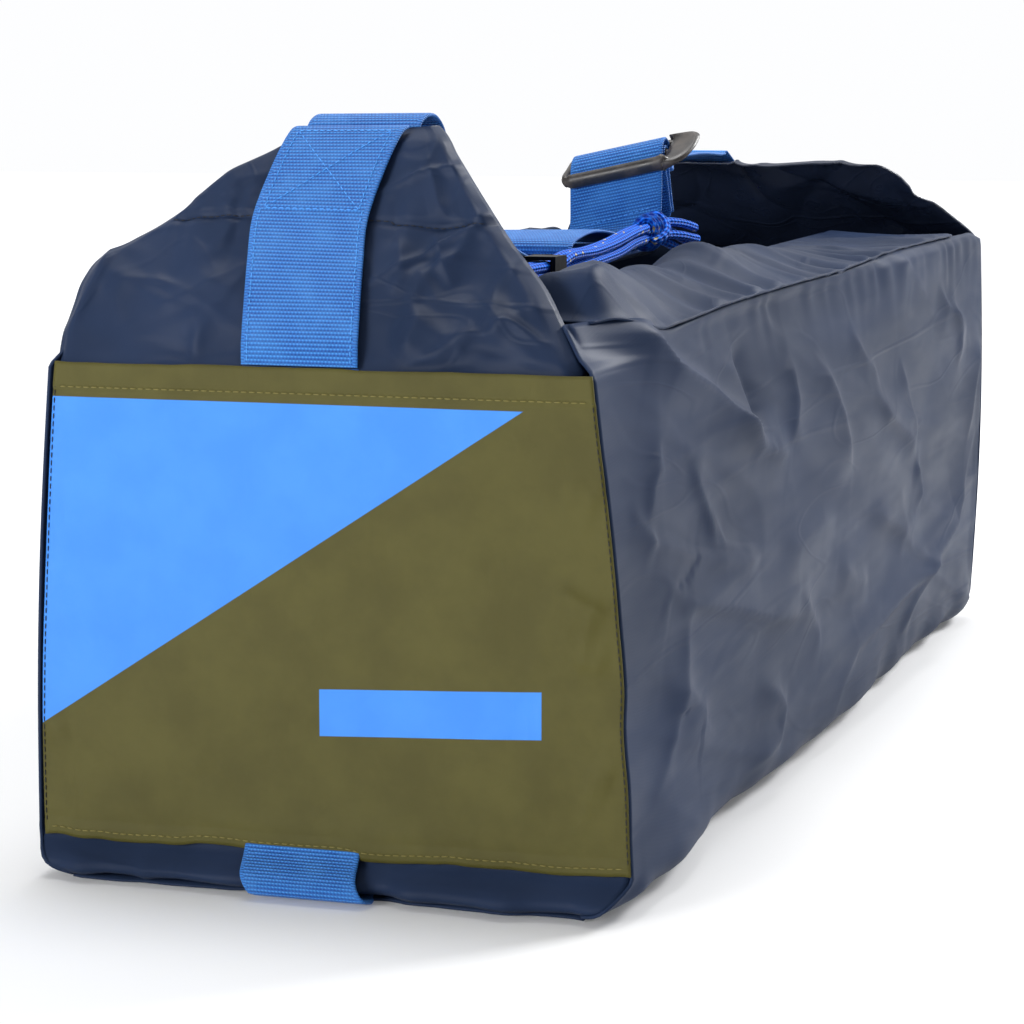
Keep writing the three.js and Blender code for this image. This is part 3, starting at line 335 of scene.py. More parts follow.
# Materials
class Nodes:
    """A node tree built step by step. A value that is put in is a number, a colour or a link."""

    def __init__(self, owner):
        owner.use_nodes = True
        self.owner, self.tree = owner, owner.node_tree

    def put(self, socket, value):
        if isinstance(value, bpy.types.NodeSocket):
            self.tree.links.new(value, socket)
        elif value is not None:
            socket.default_value = value

    def add(self, kind, inputs, **properties):
        """A new node's outputs."""
        node = self.tree.nodes.new(kind)
        for key, value in properties.items():
            setattr(node, key, value)
        for key, value in inputs.items():
            self.put(node.inputs[key], value)
        return node.outputs

    def math(self, operation, *values):
        return self.add("ShaderNodeMath", dict(enumerate(values)), operation=operation)[0]

    def mul(self, a, b):
        return self.math("MULTIPLY", a, b)

    def sine(self, x, pitch):
        return self.math("SINE", self.mul(x, TAU / pitch))

    def split(self, vector):
        return self.add("ShaderNodeSeparateXYZ", {0: vector})

    def cloth(self):
        """The cloth coordinates as a vector, and its x and y."""
        vector = self.add("ShaderNodeAttribute", {}, attribute_name="cloth")["Vector"]
        return (vector, *list(self.split(vector))[:2])

    def place(self, name="Object"):
        return self.add("ShaderNodeTexCoord", {})[name]

    def noise(self, vector, scale, detail=2.0, rough=0.5, distort=0.0):
        inputs = {"Vector": vector, "Scale": scale, "Detail": detail, "Roughness": rough}
        return self.add("ShaderNodeTexNoise", {**inputs, "Distortion": distort})["Fac"]

    def scaled(self, vector, factors):
        return self.add("ShaderNodeVectorMath", {0: vector, 1: factors}, operation="MULTIPLY")[0]

    def mix(self, part, a, b):
        return self.add("ShaderNodeMix", {0: part, 6: a, 7: b}, data_type="RGBA")[2]

    def ramp(self, v, low, high, start=0.0, end=1.0):
        inputs = dict(enumerate((v, low, high, start, end)))
        return self.add("ShaderNodeMapRange", inputs, interpolation_type="SMOOTHSTEP")[0]

    def between(self, v, low, high, soft=0.2):
        return self.mul(self.ramp(v, low - soft, low + soft), self.ramp(v, high + soft, high - soft))

    def crease(self, v, width):
        """1 where the noise v crosses its middle value, and 0 from width away."""
        return self.ramp(self.math("ABSOLUTE", self.math("SUBTRACT", v, 0.5)), 0.0, width, 1.0, 0.0)

    def bump(self, height, distance, strength=1.0, below=None):
        inputs = {"Height": height, "Strength": strength, "Distance": distance, "Normal": below}
        return self.add("ShaderNodeBump", inputs)[0]

    def finish(self, color, rough, normal=None, **fixed):
        named = {"Base Color": color, "Roughness": rough, "Normal": normal}
        named.update({key.replace("_", " "): value for key, value in fixed.items()})
        for key, value in named.items():
            self.put(self.tree.nodes["Principled BSDF"].inputs[key], value)
        return self.owner


def material(name):
    return Nodes(bpy.data.materials.new(name))


def srgb(*tone):
    parts = [c / 255 for c in tone]
    return (*[c / 12.92 if c <= 0.04045 else ((c + 0.055) / 1.055) ** 2.4 for c in parts], 1.0)


def nylon(name, dark, light, rough=0.47, gloss=0.07, crumple=1.0):
    """Thin coated nylon: a fine weave and small crumples."""
    k = material(name)
    v, x, y = k.cloth()
    thread_pitch = 0.55
    weave = k.mul(k.sine(x, thread_pitch), k.sine(y, thread_pitch))
    big = k.noise(v, 0.012, 3.0, 0.5, 0.4)
    mid = k.noise(k.scaled(v, (0.35, 1.0, 1.0)), 0.03, 1.0, 0.4, 0.3)
    fine = k.noise(v, 0.10, 1.0, 0.5, 0.3)
    fold = k.crease(k.noise(k.scaled(v, (0.4, 1.0, 1.0)), 0.022, 0.0, 0.5, 0.6), 0.05)
    cross = k.crease(k.noise(k.scaled(v, (0.8, 0.9, 1.0)), 0.03, 0.0, 0.5, 0.8), 0.04)
    colour = k.mix(k.ramp(big, 0.3, 0.7), dark, light)
    colour = k.mix(k.mul(k.ramp(weave, -1.0, 1.0), 0.10), colour, (0.01, 0.015, 0.03, 1))
    relief = k.bump(fine, 0.0004 * crumple, 0.3, k.bump(mid, 0.0009 * crumple, 0.3))
    relief = k.bump(k.math("MULTIPLY_ADD", cross, 0.5, fold), 0.00035 * crumple, 0.5, relief)
    relief = k.bump(weave, 0.00005, 0.4, relief)
    dull = k.ramp(k.noise(v, 0.05, 2.0), 0.3, 0.7, rough - 0.04, rough + 0.06)
    return k.finish(colour, dull, relief, Sheen_Weight=0.0, Specular_IOR_Level=gloss)


NAVY = srgb(31, 43, 66)
NAVY_LIGHT = srgb(38, 51, 77)
mat_navy = nylon("navy_nylon", NAVY, NAVY_LIGHT, crumple=1.35)
mat_flap = nylon("navy_nylon_flap", NAVY, NAVY_LIGHT, 0.44, 0.1, 1.5)
# The far flap's inner face: the same nylon painted darker, as painted shade for a face that lies in shadow
mat_navy_painted_shade = nylon("navy_nylon_inside_painted_shade", srgb(26, 34, 52), srgb(38, 48, 72), 0.3, 0.45, 2.2)

# The label's print: a block above a slanted line, and a plain strip
LINE_SLOPE, LINE_RISE = 0.652, 144.3
BLOCK_TOP = 199.3
BANNER_LEFT, BANNER_RIGHT, BANNER_BOTTOM, BANNER_TOP = -1.0, 92.3, 66.2, 85.2
BANNER_RISE = 0.048


def label_material():
    k = material("label_cloth")
    v, x, y = k.cloth()
    thread_pitch = 0.5
    olive = k.mix(k.ramp(k.noise(v, 0.03, 4.0, 0.6), 0.3, 0.7), srgb(74, 70, 30), srgb(83, 79, 36))
    blue = k.mix(k.ramp(k.noise(v, 0.04, 3.0), 0.3, 0.7), srgb(60, 134, 226), srgb(66, 140, 232))
    weave = k.mul(k.sine(x, thread_pitch), k.sine(y, thread_pitch))
    line = k.math("SUBTRACT", k.math("MULTIPLY_ADD", x, LINE_SLOPE, LINE_RISE), y)
    block = k.mul(k.ramp(line, 0.25, -0.25), k.ramp(y, BLOCK_TOP + 0.2, BLOCK_TOP - 0.2))
    row = k.math("SUBTRACT", y, k.mul(x, BANNER_RISE))
    banner = k.mul(k.between(x, BANNER_LEFT, BANNER_RIGHT), k.between(row, BANNER_BOTTOM, BANNER_TOP))
    worn = k.ramp(k.noise(v, 0.6, 4.0, 0.7), 0.18, 0.3)
    ink = k.mul(k.math("MAXIMUM", block, banner), k.math("MULTIPLY_ADD", worn, 0.06, 0.94))
    colour = k.mix(ink, olive, blue)
    colour = k.mix(k.mul(k.ramp(weave, -1.0, 1.0), 0.08), colour, (0.02, 0.02, 0.01, 1))
    relief = k.bump(k.noise(k.scaled(v, (1.0, 0.6, 1.0)), 0.05, 3.0, 0.55, 1.0), 0.0016, 0.3)
    relief = k.bump(k.noise(v, 0.3, 3.0, 0.6), 0.0003, 0.2, relief)
    relief = k.bump(ink, 0.00012, 0.6, k.bump(weave, 0.00006, 0.5, relief))
    dull = k.ramp(ink, 0.0, 1.0, 0.55, 0.42)
    return k.finish(colour, dull, relief, Sheen_Weight=0.0, Specular_IOR_Level=0.2)


def webbing_material(name, groove_shade, face, rib_highlight_and_wear):
    """Ribbed webbing whose columns step sideways from rib to rib, with a plain selvedge."""
    k = material(name)
    v, x, y = k.cloth()
    ribs, columns = 1.65, 1.5
    rib = k.math("ROUND", k.math("DIVIDE", k.mul(y, math.pi / ribs), math.pi))
    column = k.math("SINE", k.math("ADD", k.mul(x, TAU / columns), k.mul(rib, math.pi)))
    knit = k.math("MULTIPLY_ADD", column, 0.32, k.mul(k.sine(y, ribs), 0.68))
    edge = k.ramp(k.math("ABSOLUTE", x), 22.6, 23.4)
    selvedge = k.mul(k.mul(k.sine(y, 1.2), 0.5), edge)
    height = k.math("ADD", k.mul(knit, k.math("SUBTRACT", 1.0, edge)), selvedge)
    wear = k.noise(v, 0.05, 3.0, 0.6)
    # Painted shade in the grooves between ribs and painted highlight on the rib tops, then random pale
    # patches of wear
    colour = k.mix(k.ramp(height, -0.9, 0.75), groove_shade, face)
    colour = k.mix(k.ramp(height, 0.35, 1.0, 0.0, 0.7), colour, rib_highlight_and_wear)
    colour = k.mix(k.ramp(wear, 0.35, 0.75, 0.0, 0.25), colour, rib_highlight_and_wear)
    relief = k.bump(height, 0.00035, 0.8, k.bump(k.noise(v, 0.05, 2.0), 0.0012, 0.4))
    return k.finish(colour, 0.6, relief, Sheen_Weight=0.05, Specular_IOR_Level=0.3)


def cord_material():
    """A braid of two crossing spirals, with rare pale flecks."""
    k = material("drawcord_braid")
    v, x, y = k.cloth()
    turn, run = k.mul(x, 4.0), k.math("DIVIDE", y, 7.5)
    spirals = [k.math(way, turn, run) for way in ("ADD", "SUBTRACT")]
    braid = k.mul(*[k.sine(s, 1.0) for s in spirals])
    cells = {i: k.math("FLOOR", k.mul(s, 2.0)) for i, s in enumerate(spirals)}
    cell = {"Vector": k.add("ShaderNodeCombineXYZ", cells)[0]}
    chance = k.add("ShaderNodeTexWhiteNoise", cell, noise_dimensions="2D")["Value"]
    fleck = k.math("GREATER_THAN", chance, 0.975)
    # The colour follows the braid's relief: painted shade in the grooves between strands and painted
    # highlight on their crests
    colour = k.mix(k.ramp(braid, -0.8, 0.6), srgb(4, 44, 150), srgb(22, 116, 240))
    colour = k.mix(k.mul(fleck, 0.8), colour, srgb(206, 190, 120))
    return k.finish(colour, 0.55, k.bump(braid, 0.0007, 0.9), Sheen_Weight=0.0, Specular_IOR_Level=0.12)


def plastic(name, tone, rough, worn, gloss=0.5):
    k = material(name)
    place = k.place()
    relief = k.bump(k.noise(place, 900.0, 3.0, 0.6), 0.00006, 0.5)
    wear = k.noise(place, 90.0, 4.0, 0.65)
    dull = k.ramp(wear, 0.3, 0.7, rough - 0.06, rough + 0.12)
    return k.finish(k.mix(k.ramp(wear, 0.4, 0.7), tone, worn), dull, relief, Specular_IOR_Level=gloss)


def thread(name, tone):
    k = material(name)
    n = k.noise(k.place(), 2500.0, 2.0)
    pale = (*[min(1, c * 1.25) for c in tone[:3]], 1)
    return k.finish(k.mix(n, tone, pale), 0.55, k.bump(n, 0.0001, 0.5))


def metal(name, tone, rough=0.32):
    k = material(name)
    grain = k.noise(k.scaled(k.place(), (1.0, 0.05, 1.0)), 1500.0, 2.0)
    colour = k.mix(k.ramp(grain, 0.3, 0.7, 0.0, 0.25), tone, (0.2, 0.2, 0.2, 1))
    dull = k.ramp(grain, 0.3, 0.7, rough - 0.06, rough + 0.1)
    return k.finish(colour, dull, k.bump(grain, 0.00003, 0.4), Metallic=1.0)


# Webbing colours: painted shade for the grooves, the face colour, and painted highlight for the rib tops and
# worn patches
mat_web = webbing_material("blue_webbing", srgb(14, 66, 140), srgb(44, 118, 200), srgb(80, 152, 224))
mat_tie = webbing_material("black_webbing", srgb(10, 10, 12), srgb(34, 35, 38), srgb(52, 53, 57))
mat_cord = cord_material()
# The slider's pale warm patches are partly wear and partly painted highlight, lightening the plastic as if
# lit
mat_slider = plastic("slider_plastic", srgb(40, 37, 36), 0.4, srgb(74, 67, 62))
mat_lock = plastic("lock_plastic", srgb(5, 5, 6), 0.5, srgb(9, 9, 10), 0.15)
thread_blue = thread("thread_blue", srgb(72, 146, 220))
thread_navy = thread("thread_navy", srgb(9, 12, 22))
thread_olive = thread("thread_olive", srgb(108, 100, 46))
mat_label = label_material()
mat_steel = metal("spring_steel", (0.7, 0.71, 0.72, 1))
mat_pole = metal("pole_metal", (0.55, 0.57, 0.6, 1), 0.28)
mat_peg = metal("peg_metal", (0.72, 0.5, 0.12, 1), 0.3)
mat_hook = metal("hook_metal", (0.5, 0.52, 0.53, 1), 0.35)
mat_grey = nylon("canopy_cloth", srgb(120, 124, 128), srgb(142, 146, 150))
mat_bagcloth = nylon("inner_bag_cloth", srgb(44, 44, 50), srgb(58, 58, 64))


def paint(obj, look):
    obj.data.materials.clear()
    obj.data.materials.append(look)


def dress(obj, look, body=None, stands_for=()):
    paint(obj, look)
    if stands_for:
        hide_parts(*stands_for)
    if body:
        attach(obj, body)
    return obj


# Camera, light and floor
FOCAL_PIXELS, PHOTO_PIXELS, SENSOR = 3138.0, 1024.0, 36.0
CAMERA_PLACE, CAMERA_DOWN, CAMERA_TURN = (0.455, -1.528, 0.325), 7.78, 18.10

scene = bpy.context.scene
cam_data = bpy.data.cameras.new("camera")
cam_data.sensor_width = SENSOR
cam_data.lens = FOCAL_PIXELS / PHOTO_PIXELS * SENSOR
cam_data.clip_start, cam_data.clip_end = 0.05, 50.0
cam = bpy.data.objects.new("camera", cam_data)
scene.collection.objects.link(cam)
cam.location = CAMERA_PLACE
cam.rotation_euler = (math.radians(90 - CAMERA_DOWN), 0.0, math.radians(CAMERA_TURN))
scene.camera = cam
scene.view_settings.view_transform = "Standard"
scene.view_settings.look = "None"


def studio_sky():
    """Pale surroundings, brighter behind the bag."""
    world = bpy.data.worlds.new("studio")
    scene.world = world
    sky = Nodes(world)
    background = sky.tree.nodes["Background"].inputs
    sky.put(background["Strength"], sky.ramp(sky.split(sky.place("Generated"))[1], -0.1, 0.8, 0.3, 1.0))
    sky.put(background["Color"], (0.985, 0.99, 1.0, 1))


def area_light(name, place, target, size, power):
    data = bpy.data.lights.new(name, "AREA")
    data.shape = "RECTANGLE"
    data.size, data.size_y = size
    data.energy = power
    obj = bpy.data.objects.new(name, data)
    scene.collection.objects.link(obj)
    obj.location = place
    x, y, z = np.array(target, float) - np.array(place, float)
    obj.rotation_euler = (math.atan2(math.hypot(x, y), -z), 0, math.atan2(y, x) - math.pi / 2)


def pale_floor():
    left, right, front, back, height = -6000, 6000, -4000, 9000, -0.6
    corners = [(left, front, height), (right, front, height), (right, back, height), (left, back, height)]
    floor = new_object("floor", corners, [(0, 1, 2, 3)])
    k = material("pale_floor")
    place = k.place()
    far = k.add("ShaderNodeVectorMath", {0: place}, operation="LENGTH")["Value"]
    colour = k.mix(k.noise(place, 3.0, 3.0), (0.74, 0.745, 0.75, 1), (0.78, 0.78, 0.78, 1))
    glow = k.ramp(far, 0.6, 5.0, 0.1, 0.72)
    floor.data.materials.append(k.finish(colour, 0.9, Emission_Color=(1, 1, 1, 1), Emission_Strength=glow))


studio_sky()
area_light("key", (1.5, 1.9, 1.8), (0.1, 0.0, 0.15), (0.9, 0.7), 84)
area_light("front", (-0.9, -2.3, 0.5), (0, -0.3, 0.08), (0.8, 0.7), 38)
area_light("top", (-0.2, 0.1, 2.3), (0, 0, 0.2), (1.2, 1.2), 36)
pale_floor()

# The bag's outline
SHOULDER = [(-377, 232), (-345, 232.5), (-320, 232), (-300, 228.5), (-283, 225.5), (-258, 226), (-183, 229),
            (-74, 231), (40, 232.4), (124, 235.6), (226, 236.5), (320, 236.5), (352, 236), (377, 231.5)]
# height and distance from the middle of the near flap's side edges
NEAR_LEFT = [(212.4, -117.6), (225, -117), (236, -115.8), (246, -113.8), (252, -110.6), (258, -103.4),
             (272, -83.5), (288, -58), (302, -35.5), (306, -31)]
NEAR_RIGHT = [(214.8, 107), (230, 96), (243, 86.6), (260, 69.6), (272, 58.6), (283, 49), (295, 38.7),
              (302, 33), (306, 27)]


def share(y):
    """0 at the near end and 1 at the far end."""
    return (y + 375) / 751.3


def half_width(y, v):
    """Half width of the bag at y, at v from 0 at the base corner to 1 at the shoulder."""
    t = np.clip(share(y), 0, 1)
    bulge = BULGE * lerp(0.4, 1, np.sin(np.pi * t))
    return lerp(lerp(*BASE_HALF, t), lerp(*SHOULDER_HALF, t), v) + bulge * np.sin(np.pi * np.clip(v, 0, 1))


def shoulder(y):
    return along(SHOULDER, y)


def label_edge(z, side):
    t = (z - LABEL_BOTTOM) / (LABEL_TOP - LABEL_BOTTOM)
    arch = np.sin(np.pi * np.clip(t, 0, 1))
    if side < 0:
        return -lerp(*LABEL_LEFT, t) - LABEL_ARCH * arch
    return lerp(*LABEL_RIGHT, t) + LABEL_ARCH * arch + noise(z / 24, 0.0, 83) * arch


def flap_edge(z, sign):
    """Distance of the near flap's side edge from the middle at height z."""
    return along(NEAR_RIGHT, z) if sign > 0 else -along(NEAR_LEFT, z)


def near_lip(x, z):
    """How far the near end's foot bulges forward."""
    lump = 1 + 0.35 * noise(x / 34, 0.0, 19) + 0.2 * noise(x / 13, 0.0, 20) + 0.25 * smooth((x - 30) / 80)
    return LIP_OUT * lump * bell(z, LIP_Z, LIP_HEIGHT)


def steps(arc, count):
    """Shares of a wall's height: close together on the base corner, then even."""
    return np.concatenate([np.linspace(0, arc, 9)[:-1], np.linspace(arc, 1, count)])


def wall(y, p, arc, top):
    """Half width and height of the bag, and the cosine of its base corner's angle, p up the wall."""
    up = lerp(CORNER, top, np.clip((p - arc) / (1 - arc), 0, 1))
    angle = np.clip(1 - p / arc, 0, 1) * np.pi / 2
    on_arc = half_width(y, 0) - CORNER + CORNER * np.cos(angle)
    side = half_width(y, (up - BULGE_FOOT) / (shoulder(y) - BULGE_FOOT))
    out = np.where(p < arc, on_arc, side)
    return out, np.where(p < arc, CORNER * (1 - np.sin(angle)) + BASE_GAP, up), np.cos(angle)


# Side panels. A fold is its points of (y, z), its height, its width and its skew
RIGHT_FOLDS = [
    ([(-345, 238), (-318, 226), (-300, 212), (-250, 198), (-226, 188), (-190, 176), (-160, 164)],
     7.0, 10, 0.5),
    ([(-226, 190), (-180, 166), (-140, 158), (-112, 156)], 3.5, 9, -0.4),
    ([(-167, 168), (-172, 190), (-185, 212)], -3.2, 9, 0.3),
    ([(-120, 158), (-108, 178), (-104, 205)], 2.8, 12, 0.3),
    ([(168, 123), (146, 134), (74, 154), (40, 172)], 3.0, 9, 0.4),
    ([(170, 122), (150, 150), (132, 182)], 2.2, 10, -0.4),
    ([(168, 120), (182, 106), (190, 92)], 2.4, 8, 0.2),
    ([(372, 122), (330, 96), (292, 68), (206, 53), (120, 49), (82, 46), (24, 41), (-7, 28), (-30, 14)],
     5.5, 10, 0.45),
    ([(233, 60), (205, 50), (180, 41), (143, 21)], 3.0, 8, -0.3),
    ([(-300, 131), (-317, 121), (-300, 113), (-278, 110), (-220, 99), (-164, 86), (-80, 74)], 3.0, 9, -0.5),
    ([(-357, 161), (-340, 148), (-330, 140)], 2.2, 7, 0.3),
    ([(-316, 184), (-330, 166), (-338, 150)], 1.8, 7, -0.3),
    ([(-334, 86), (-300, 76), (-277, 64), (-320, 62)], 2.4, 10, 0.2),
    ([(-190, 62), (-150, 48), (-137, 40), (-144, 27), (-200, 16)], 3.0, 11, 0.4),
    ([(-365, 30), (-330, 52), (-300, 90), (-290, 120)], 1.8, 10, 0.2),
    ([(-260, 150), (-240, 130), (-215, 122), (-180, 118)], 2.0, 9, 0.4),
    ([(-280, 172), (-262, 150), (-250, 128)], 1.8, 8, -0.4),
    ([(-150, 120), (-110, 112), (-60, 116), (-20, 110)], 1.8, 10, 0.3),
    ([(-60, 200), (-40, 178), (-20, 150), (-8, 132)], 2.4, 11, 0.4),
    ([(20, 205), (42, 186), (70, 172)], 2.0, 9, 0.3),
    ([(232, 214), (256, 198), (300, 186), (330, 176)], 3.2, 10, 0.45),
    ([(262, 206), (290, 182), (300, 158)], 2.2, 9, -0.4),
    ([(376, 176), (352, 150), (330, 110)], 2.6, 11, 0.3),
    ([(-110, 90), (-70, 66), (-50, 50)], 2.0, 10, 0.2),
    ([(40, 110), (90, 96), (140, 86), (200, 84)], 2.2, 11, -0.3),
    ([(-20, 90), (20, 76), (60, 70)], 1.8, 10, 0.3),
]
# how strongly the cloth is gathered below the shoulder seam
SIDE_GATHER = [(-377, 0.1), (-240, 0.5), (-100, 1.0), (150, 1.2), (330, 1.0), (377, 0.3)]


def left_folds():
    """Folds of the left side, spread evenly over its length."""
    folds = []
    for k in range(15):
        t = (k * 0.618) % 1
        ys = [lerp(-300, 240, t), lerp(-260, 290, t), lerp(-210, 330, t)]
        zs = [205 - 26 * (k % 3), 150 - 22 * (k % 4), 96 - 14 * (k % 3)]
        height, width = 2.2 + 1.6 * ((k * 0.37) % 1), 9 + 4 * ((k * 0.71) % 1)
        folds.append((list(zip(ys, zs)), height, width, 0.4 * (-1) ** k))
    return folds


def side_surface(y, p, folds, seed, sign):
    """x and z of the right side at y, p from 0 at the base seam to 1 at the shoulder seam."""
    top = shoulder(y)
    x, z, corner = wall(y, p, SIDE_ARC, top)
    d = crumple(y, z, (1.7, 40, seed, -0.24, 9.0, 7), (0.9, 30, seed + 3, 0.1, 9.0, 9),
                (0.8, 60, seed + 6, -0.45, 6.0, 9))
    d = folded(d + noise(y / 170, z / 80, seed + 8) * 3.6, y, z, folds, 1.3)
    # the cloth sags outward low down behind the near corner
    d = d + 6.0 * bell(y, -330, 70) * bell(z, 4, 34) * smooth((y - NEAR) / 16)
    gather = np.sin(y / 6.3 + 1.6 * noise(y / 35, z / 60, seed + 2)) * noise(y / 23, z / 200, seed + 4)
    d = d + along(SIDE_GATHER, y) * 1.3 * gather * bell(z, top, 16, 1.4)
    d = d * lerp(0.15, 1, smooth((top - z) / 7)) * (0.45 + 0.55 * smooth((z + 2) / 14))
    d = d - 1.6 * (1 - smooth((top - z) / 4))
    d = d + 2.2 * noise(y / 38, 0.0, seed + 33) * bell(z, 8, 18)
    x = x + d * lerp(0.25, 1, smooth((y - NEAR) / 16) * smooth((FAR - y) / 16))
    # the near edge follows the label's edge, and the top corners lean in to meet the end flaps
    edge = sign * label_edge(np.clip(z, CORNER, LABEL_TOP), sign) + (3.4 if sign < 0 else 0.5)
    above = flap_edge(z, sign) + (-3.0 if sign < 0 else 1.4)
    edge = lerp(edge, above, smooth((z - LABEL_TOP + 3) / 10)) - CORNER * (1 - corner)
    x = lerp(x, edge, smooth((-318 - y) / 59) ** 0.8 * smooth((z - 6) / 10))
    # sagging base line
    return x, z + (1 - smooth(p / 0.16)) * (1.2 + 1.2 * noise(y / 60, 0.0, seed + 31))


def side_panel(name, folds, seed, sign, node):
    Y, up = field(np.linspace(NEAR + 0.4, FAR - 0.4, 300), steps(SIDE_ARC, 104))
    X, Z = side_surface(Y, up, folds, seed, sign)
    # the ends follow the rounded base corner
    corner = 1 - np.sqrt(np.clip(1 - ((CORNER - np.clip(Z, 0, CORNER)) / CORNER) ** 2, 0, 1))
    out = Y + corner * (NEAR_PULL * smooth((-340 - Y) / 37) - FAR_PULL * smooth((Y - 340) / 37))
    # beside the label the edge comes out to the label's face, and above it leans back
    near_edge = smooth((-360 - Y) / 16)
    out = out - 2.4 * near_edge * smooth((Z - 14) / 6) * smooth((222 - Z) / 10)
    out = out + (0.6 if sign > 0 else 0.95) * np.maximum(Z - 212, 0) * near_edge
    out = out - near_lip(sign * X, Z) * smooth((-352 - Y) / 24)
    obj = shell(name, stack(X, out, Z), 1.2, stack(Y * 0.25, up * 236, seed), mirror=sign < 0)
    dress(obj, mat_navy, "bag", [node])


side_panel("right_side_cloth", RIGHT_FOLDS, 11, 1, "right_side_panel")
side_panel("left_side_cloth", left_folds(), 41, -1, "left_side_panel")


# Base and ends
def base_cloth():
    """The base, whose outside faces down."""
    Y, S = field(np.linspace(NEAR + NEAR_PULL, FAR - FAR_PULL, 110), np.linspace(-1, 1, 60))
    X = S * (half_width(Y, 0) - CORNER + 0.5)
    Y = Y - near_lip(X, 1.5) * smooth((-330 - Y) / 41)
    # it stands a little higher over the belly strap
    Z = 0.9 + 0.9 * (noise(X / 45, Y / 60, 3) * 0.5 + 0.5) + 1.8 * smooth(1 - np.abs(X - WEBBING_X) / 34)
    obj = shell("base_cloth", stack(X, Y, Z), 1.0, stack(X, Y, 0.0), flip=True)
    dress(obj, mat_navy, "bag", ["base_panel"])


def end_cloth(name, y_end, sign, top, seed, node):
    """An end of the bag, S across from -1 to 1 and up from the base seam."""
    S, up = field(np.linspace(-1, 1, 90), steps(END_ARC, 60))
    w, z, corner = wall(y_end, up, END_ARC, top)
    x = S * w
    if sign < 0:
        behind = lerp(label_edge(z, -1) - 3.0, label_edge(z, 1) - 1.2, (S + 1) / 2)
        x = lerp(x, behind, smooth((z - 10) / 8))
    y = y_end - sign * (FAR_PULL if sign > 0 else NEAR_PULL) * (1 - corner)
    d = creases(x, z, 40, seed, 0.5, 3.0, 5) * 0.9 + noise(x / 60, z / 50, seed + 1)
    scallop = np.sin(x / 17.0 + 1.3) * 1.6 + noise(x / 22, 0, seed + 3) * 2.0
    scallop = np.abs((1 - smooth((up - 0.02) / 0.14)) * scallop)
    y = y + sign * (d * smooth(up / 0.2) * (1 - smooth((np.abs(S) - 0.9) / 0.1)) - scallop * 0.8)
    z = z + (1 - smooth(up / 0.1)) * (1.0 + scallop * 0.7)
    if sign < 0:
        y = y - near_lip(x, z)
    obj = shell(name, stack(x, y, z), 1.0, stack(x, up * 230, seed), flip=sign > 0)
    dress(obj, mat_navy, "bag", [node])


base_cloth()
end_cloth("near_end_cloth", NEAR + 0.1, -1, 211.5, 61, "near_end_panel")
end_cloth("far_end_cloth", FAR - 0.1, 1, 225.0, 71, "far_end_panel")

# Label. A fold is its points of (x, z), its height, its width and its skew
LABEL_FOLDS = [
    ([(60, 213), (62, 180), (58, 140)], 0.7, 12, 0.2),
    ([(100, 120), (116, 116)], 1.2, 8, 0.3),
    ([(112, 60), (122, 56)], 1.4, 7, 0.3),
    ([(96, 132), (108, 126), (121, 121)], 2.2, 6, 0.4),
    ([(104, 104), (120, 100)], 1.6, 6, -0.3),
    ([(100, 172), (118, 166)], 1.2, 8, 0.3),
    ([(-122, 60), (-112, 64)], 1.2, 7, 0.3),
    ([(-60, 30), (0, 22), (60, 26)], 0.8, 12, 0.3),
    ([(-110, 205), (-60, 160), (-20, 150)], 0.7, 14, 0.3),
    ([(20, 196), (40, 170)], 0.6, 10, 0.3),
]


def label_y(x, z):
    """Where the label's face lies."""
    d = crumple(x, z, (0.45, 60, 91, 0.25, 3.0, 6), (0.3, 44, 95, 1.0, 2.5, 7))
    d = folded(d + noise(x / 80, z / 70, 92) * 1.1, x, z, LABEL_FOLDS)
    edge = np.minimum(smooth((z - LABEL_BOTTOM) / 12), smooth((LABEL_TOP - z) / 12))
    return LABEL_FACE - (d + 0.9) * lerp(0.35, 1, edge)


def label_wave(x, z):
    """How far the label's hems wave up and down."""
    wave = 0.9 * noise(x / 24, 0, 77) + 0.5 * noise(x / 9, 0, 78)
    return wave * (smooth((LABEL_BOTTOM + 16 - z) / 16) * 1.1 + 0.35 * smooth((z - LABEL_TOP + 10) / 10))


def label_cloth():
    S, Z = field(np.linspace(0, 1, 150), np.linspace(LABEL_BOTTOM, LABEL_TOP, 120))
    X = lerp(label_edge(Z, -1), label_edge(Z, 1), S)
    # hems: folded double at top and bottom
    hem = np.maximum(smooth((Z - (LABEL_TOP - 11.5)) / 1.0), smooth((LABEL_BOTTOM + 6.0 - Z) / 1.0))
    Y = label_y(X, Z) - 0.55 * hem + 0.35 * bell(Z, LABEL_TOP - 11.8, 0.9)
    obj = shell("label_cloth", stack(X, Y, Z + label_wave(X, Z)), 0.9, stack(X, Z, 0.0))
    dress(obj, mat_label, "bag", ["label_panel"])


def facing_front(points):
    return points, np.tile([0, -1.0, 0], (len(points), 1))


def hem_line(z):
    xs = np.linspace(label_edge(z, -1) + 3.0, label_edge(z, 1) - 3.0, 120)
    return facing_front(stack(xs, label_y(xs, np.full_like(xs, z)) - 0.62, z + label_wave(xs, z)))


def side_line(side):
    zs = np.linspace(19, 212, 100)
    xs = label_edge(zs, side) - side * 0.9
    return facing_front(stack(xs, label_y(xs, zs) - 0.15, zs))


label_cloth()
hem_lines = [hem_line(LABEL_TOP - 10.2), hem_line(LABEL_BOTTOM + 3.2)]
stitches("label_hem_stitches", hem_lines, thread_olive, "bag", 3.4, 2.6, 0.28)
side_lines = [side_line(1), side_line(-1)]
stitches("label_side_stitches", side_lines, thread_navy, "bag", 3.2, 2.3, 0.24)

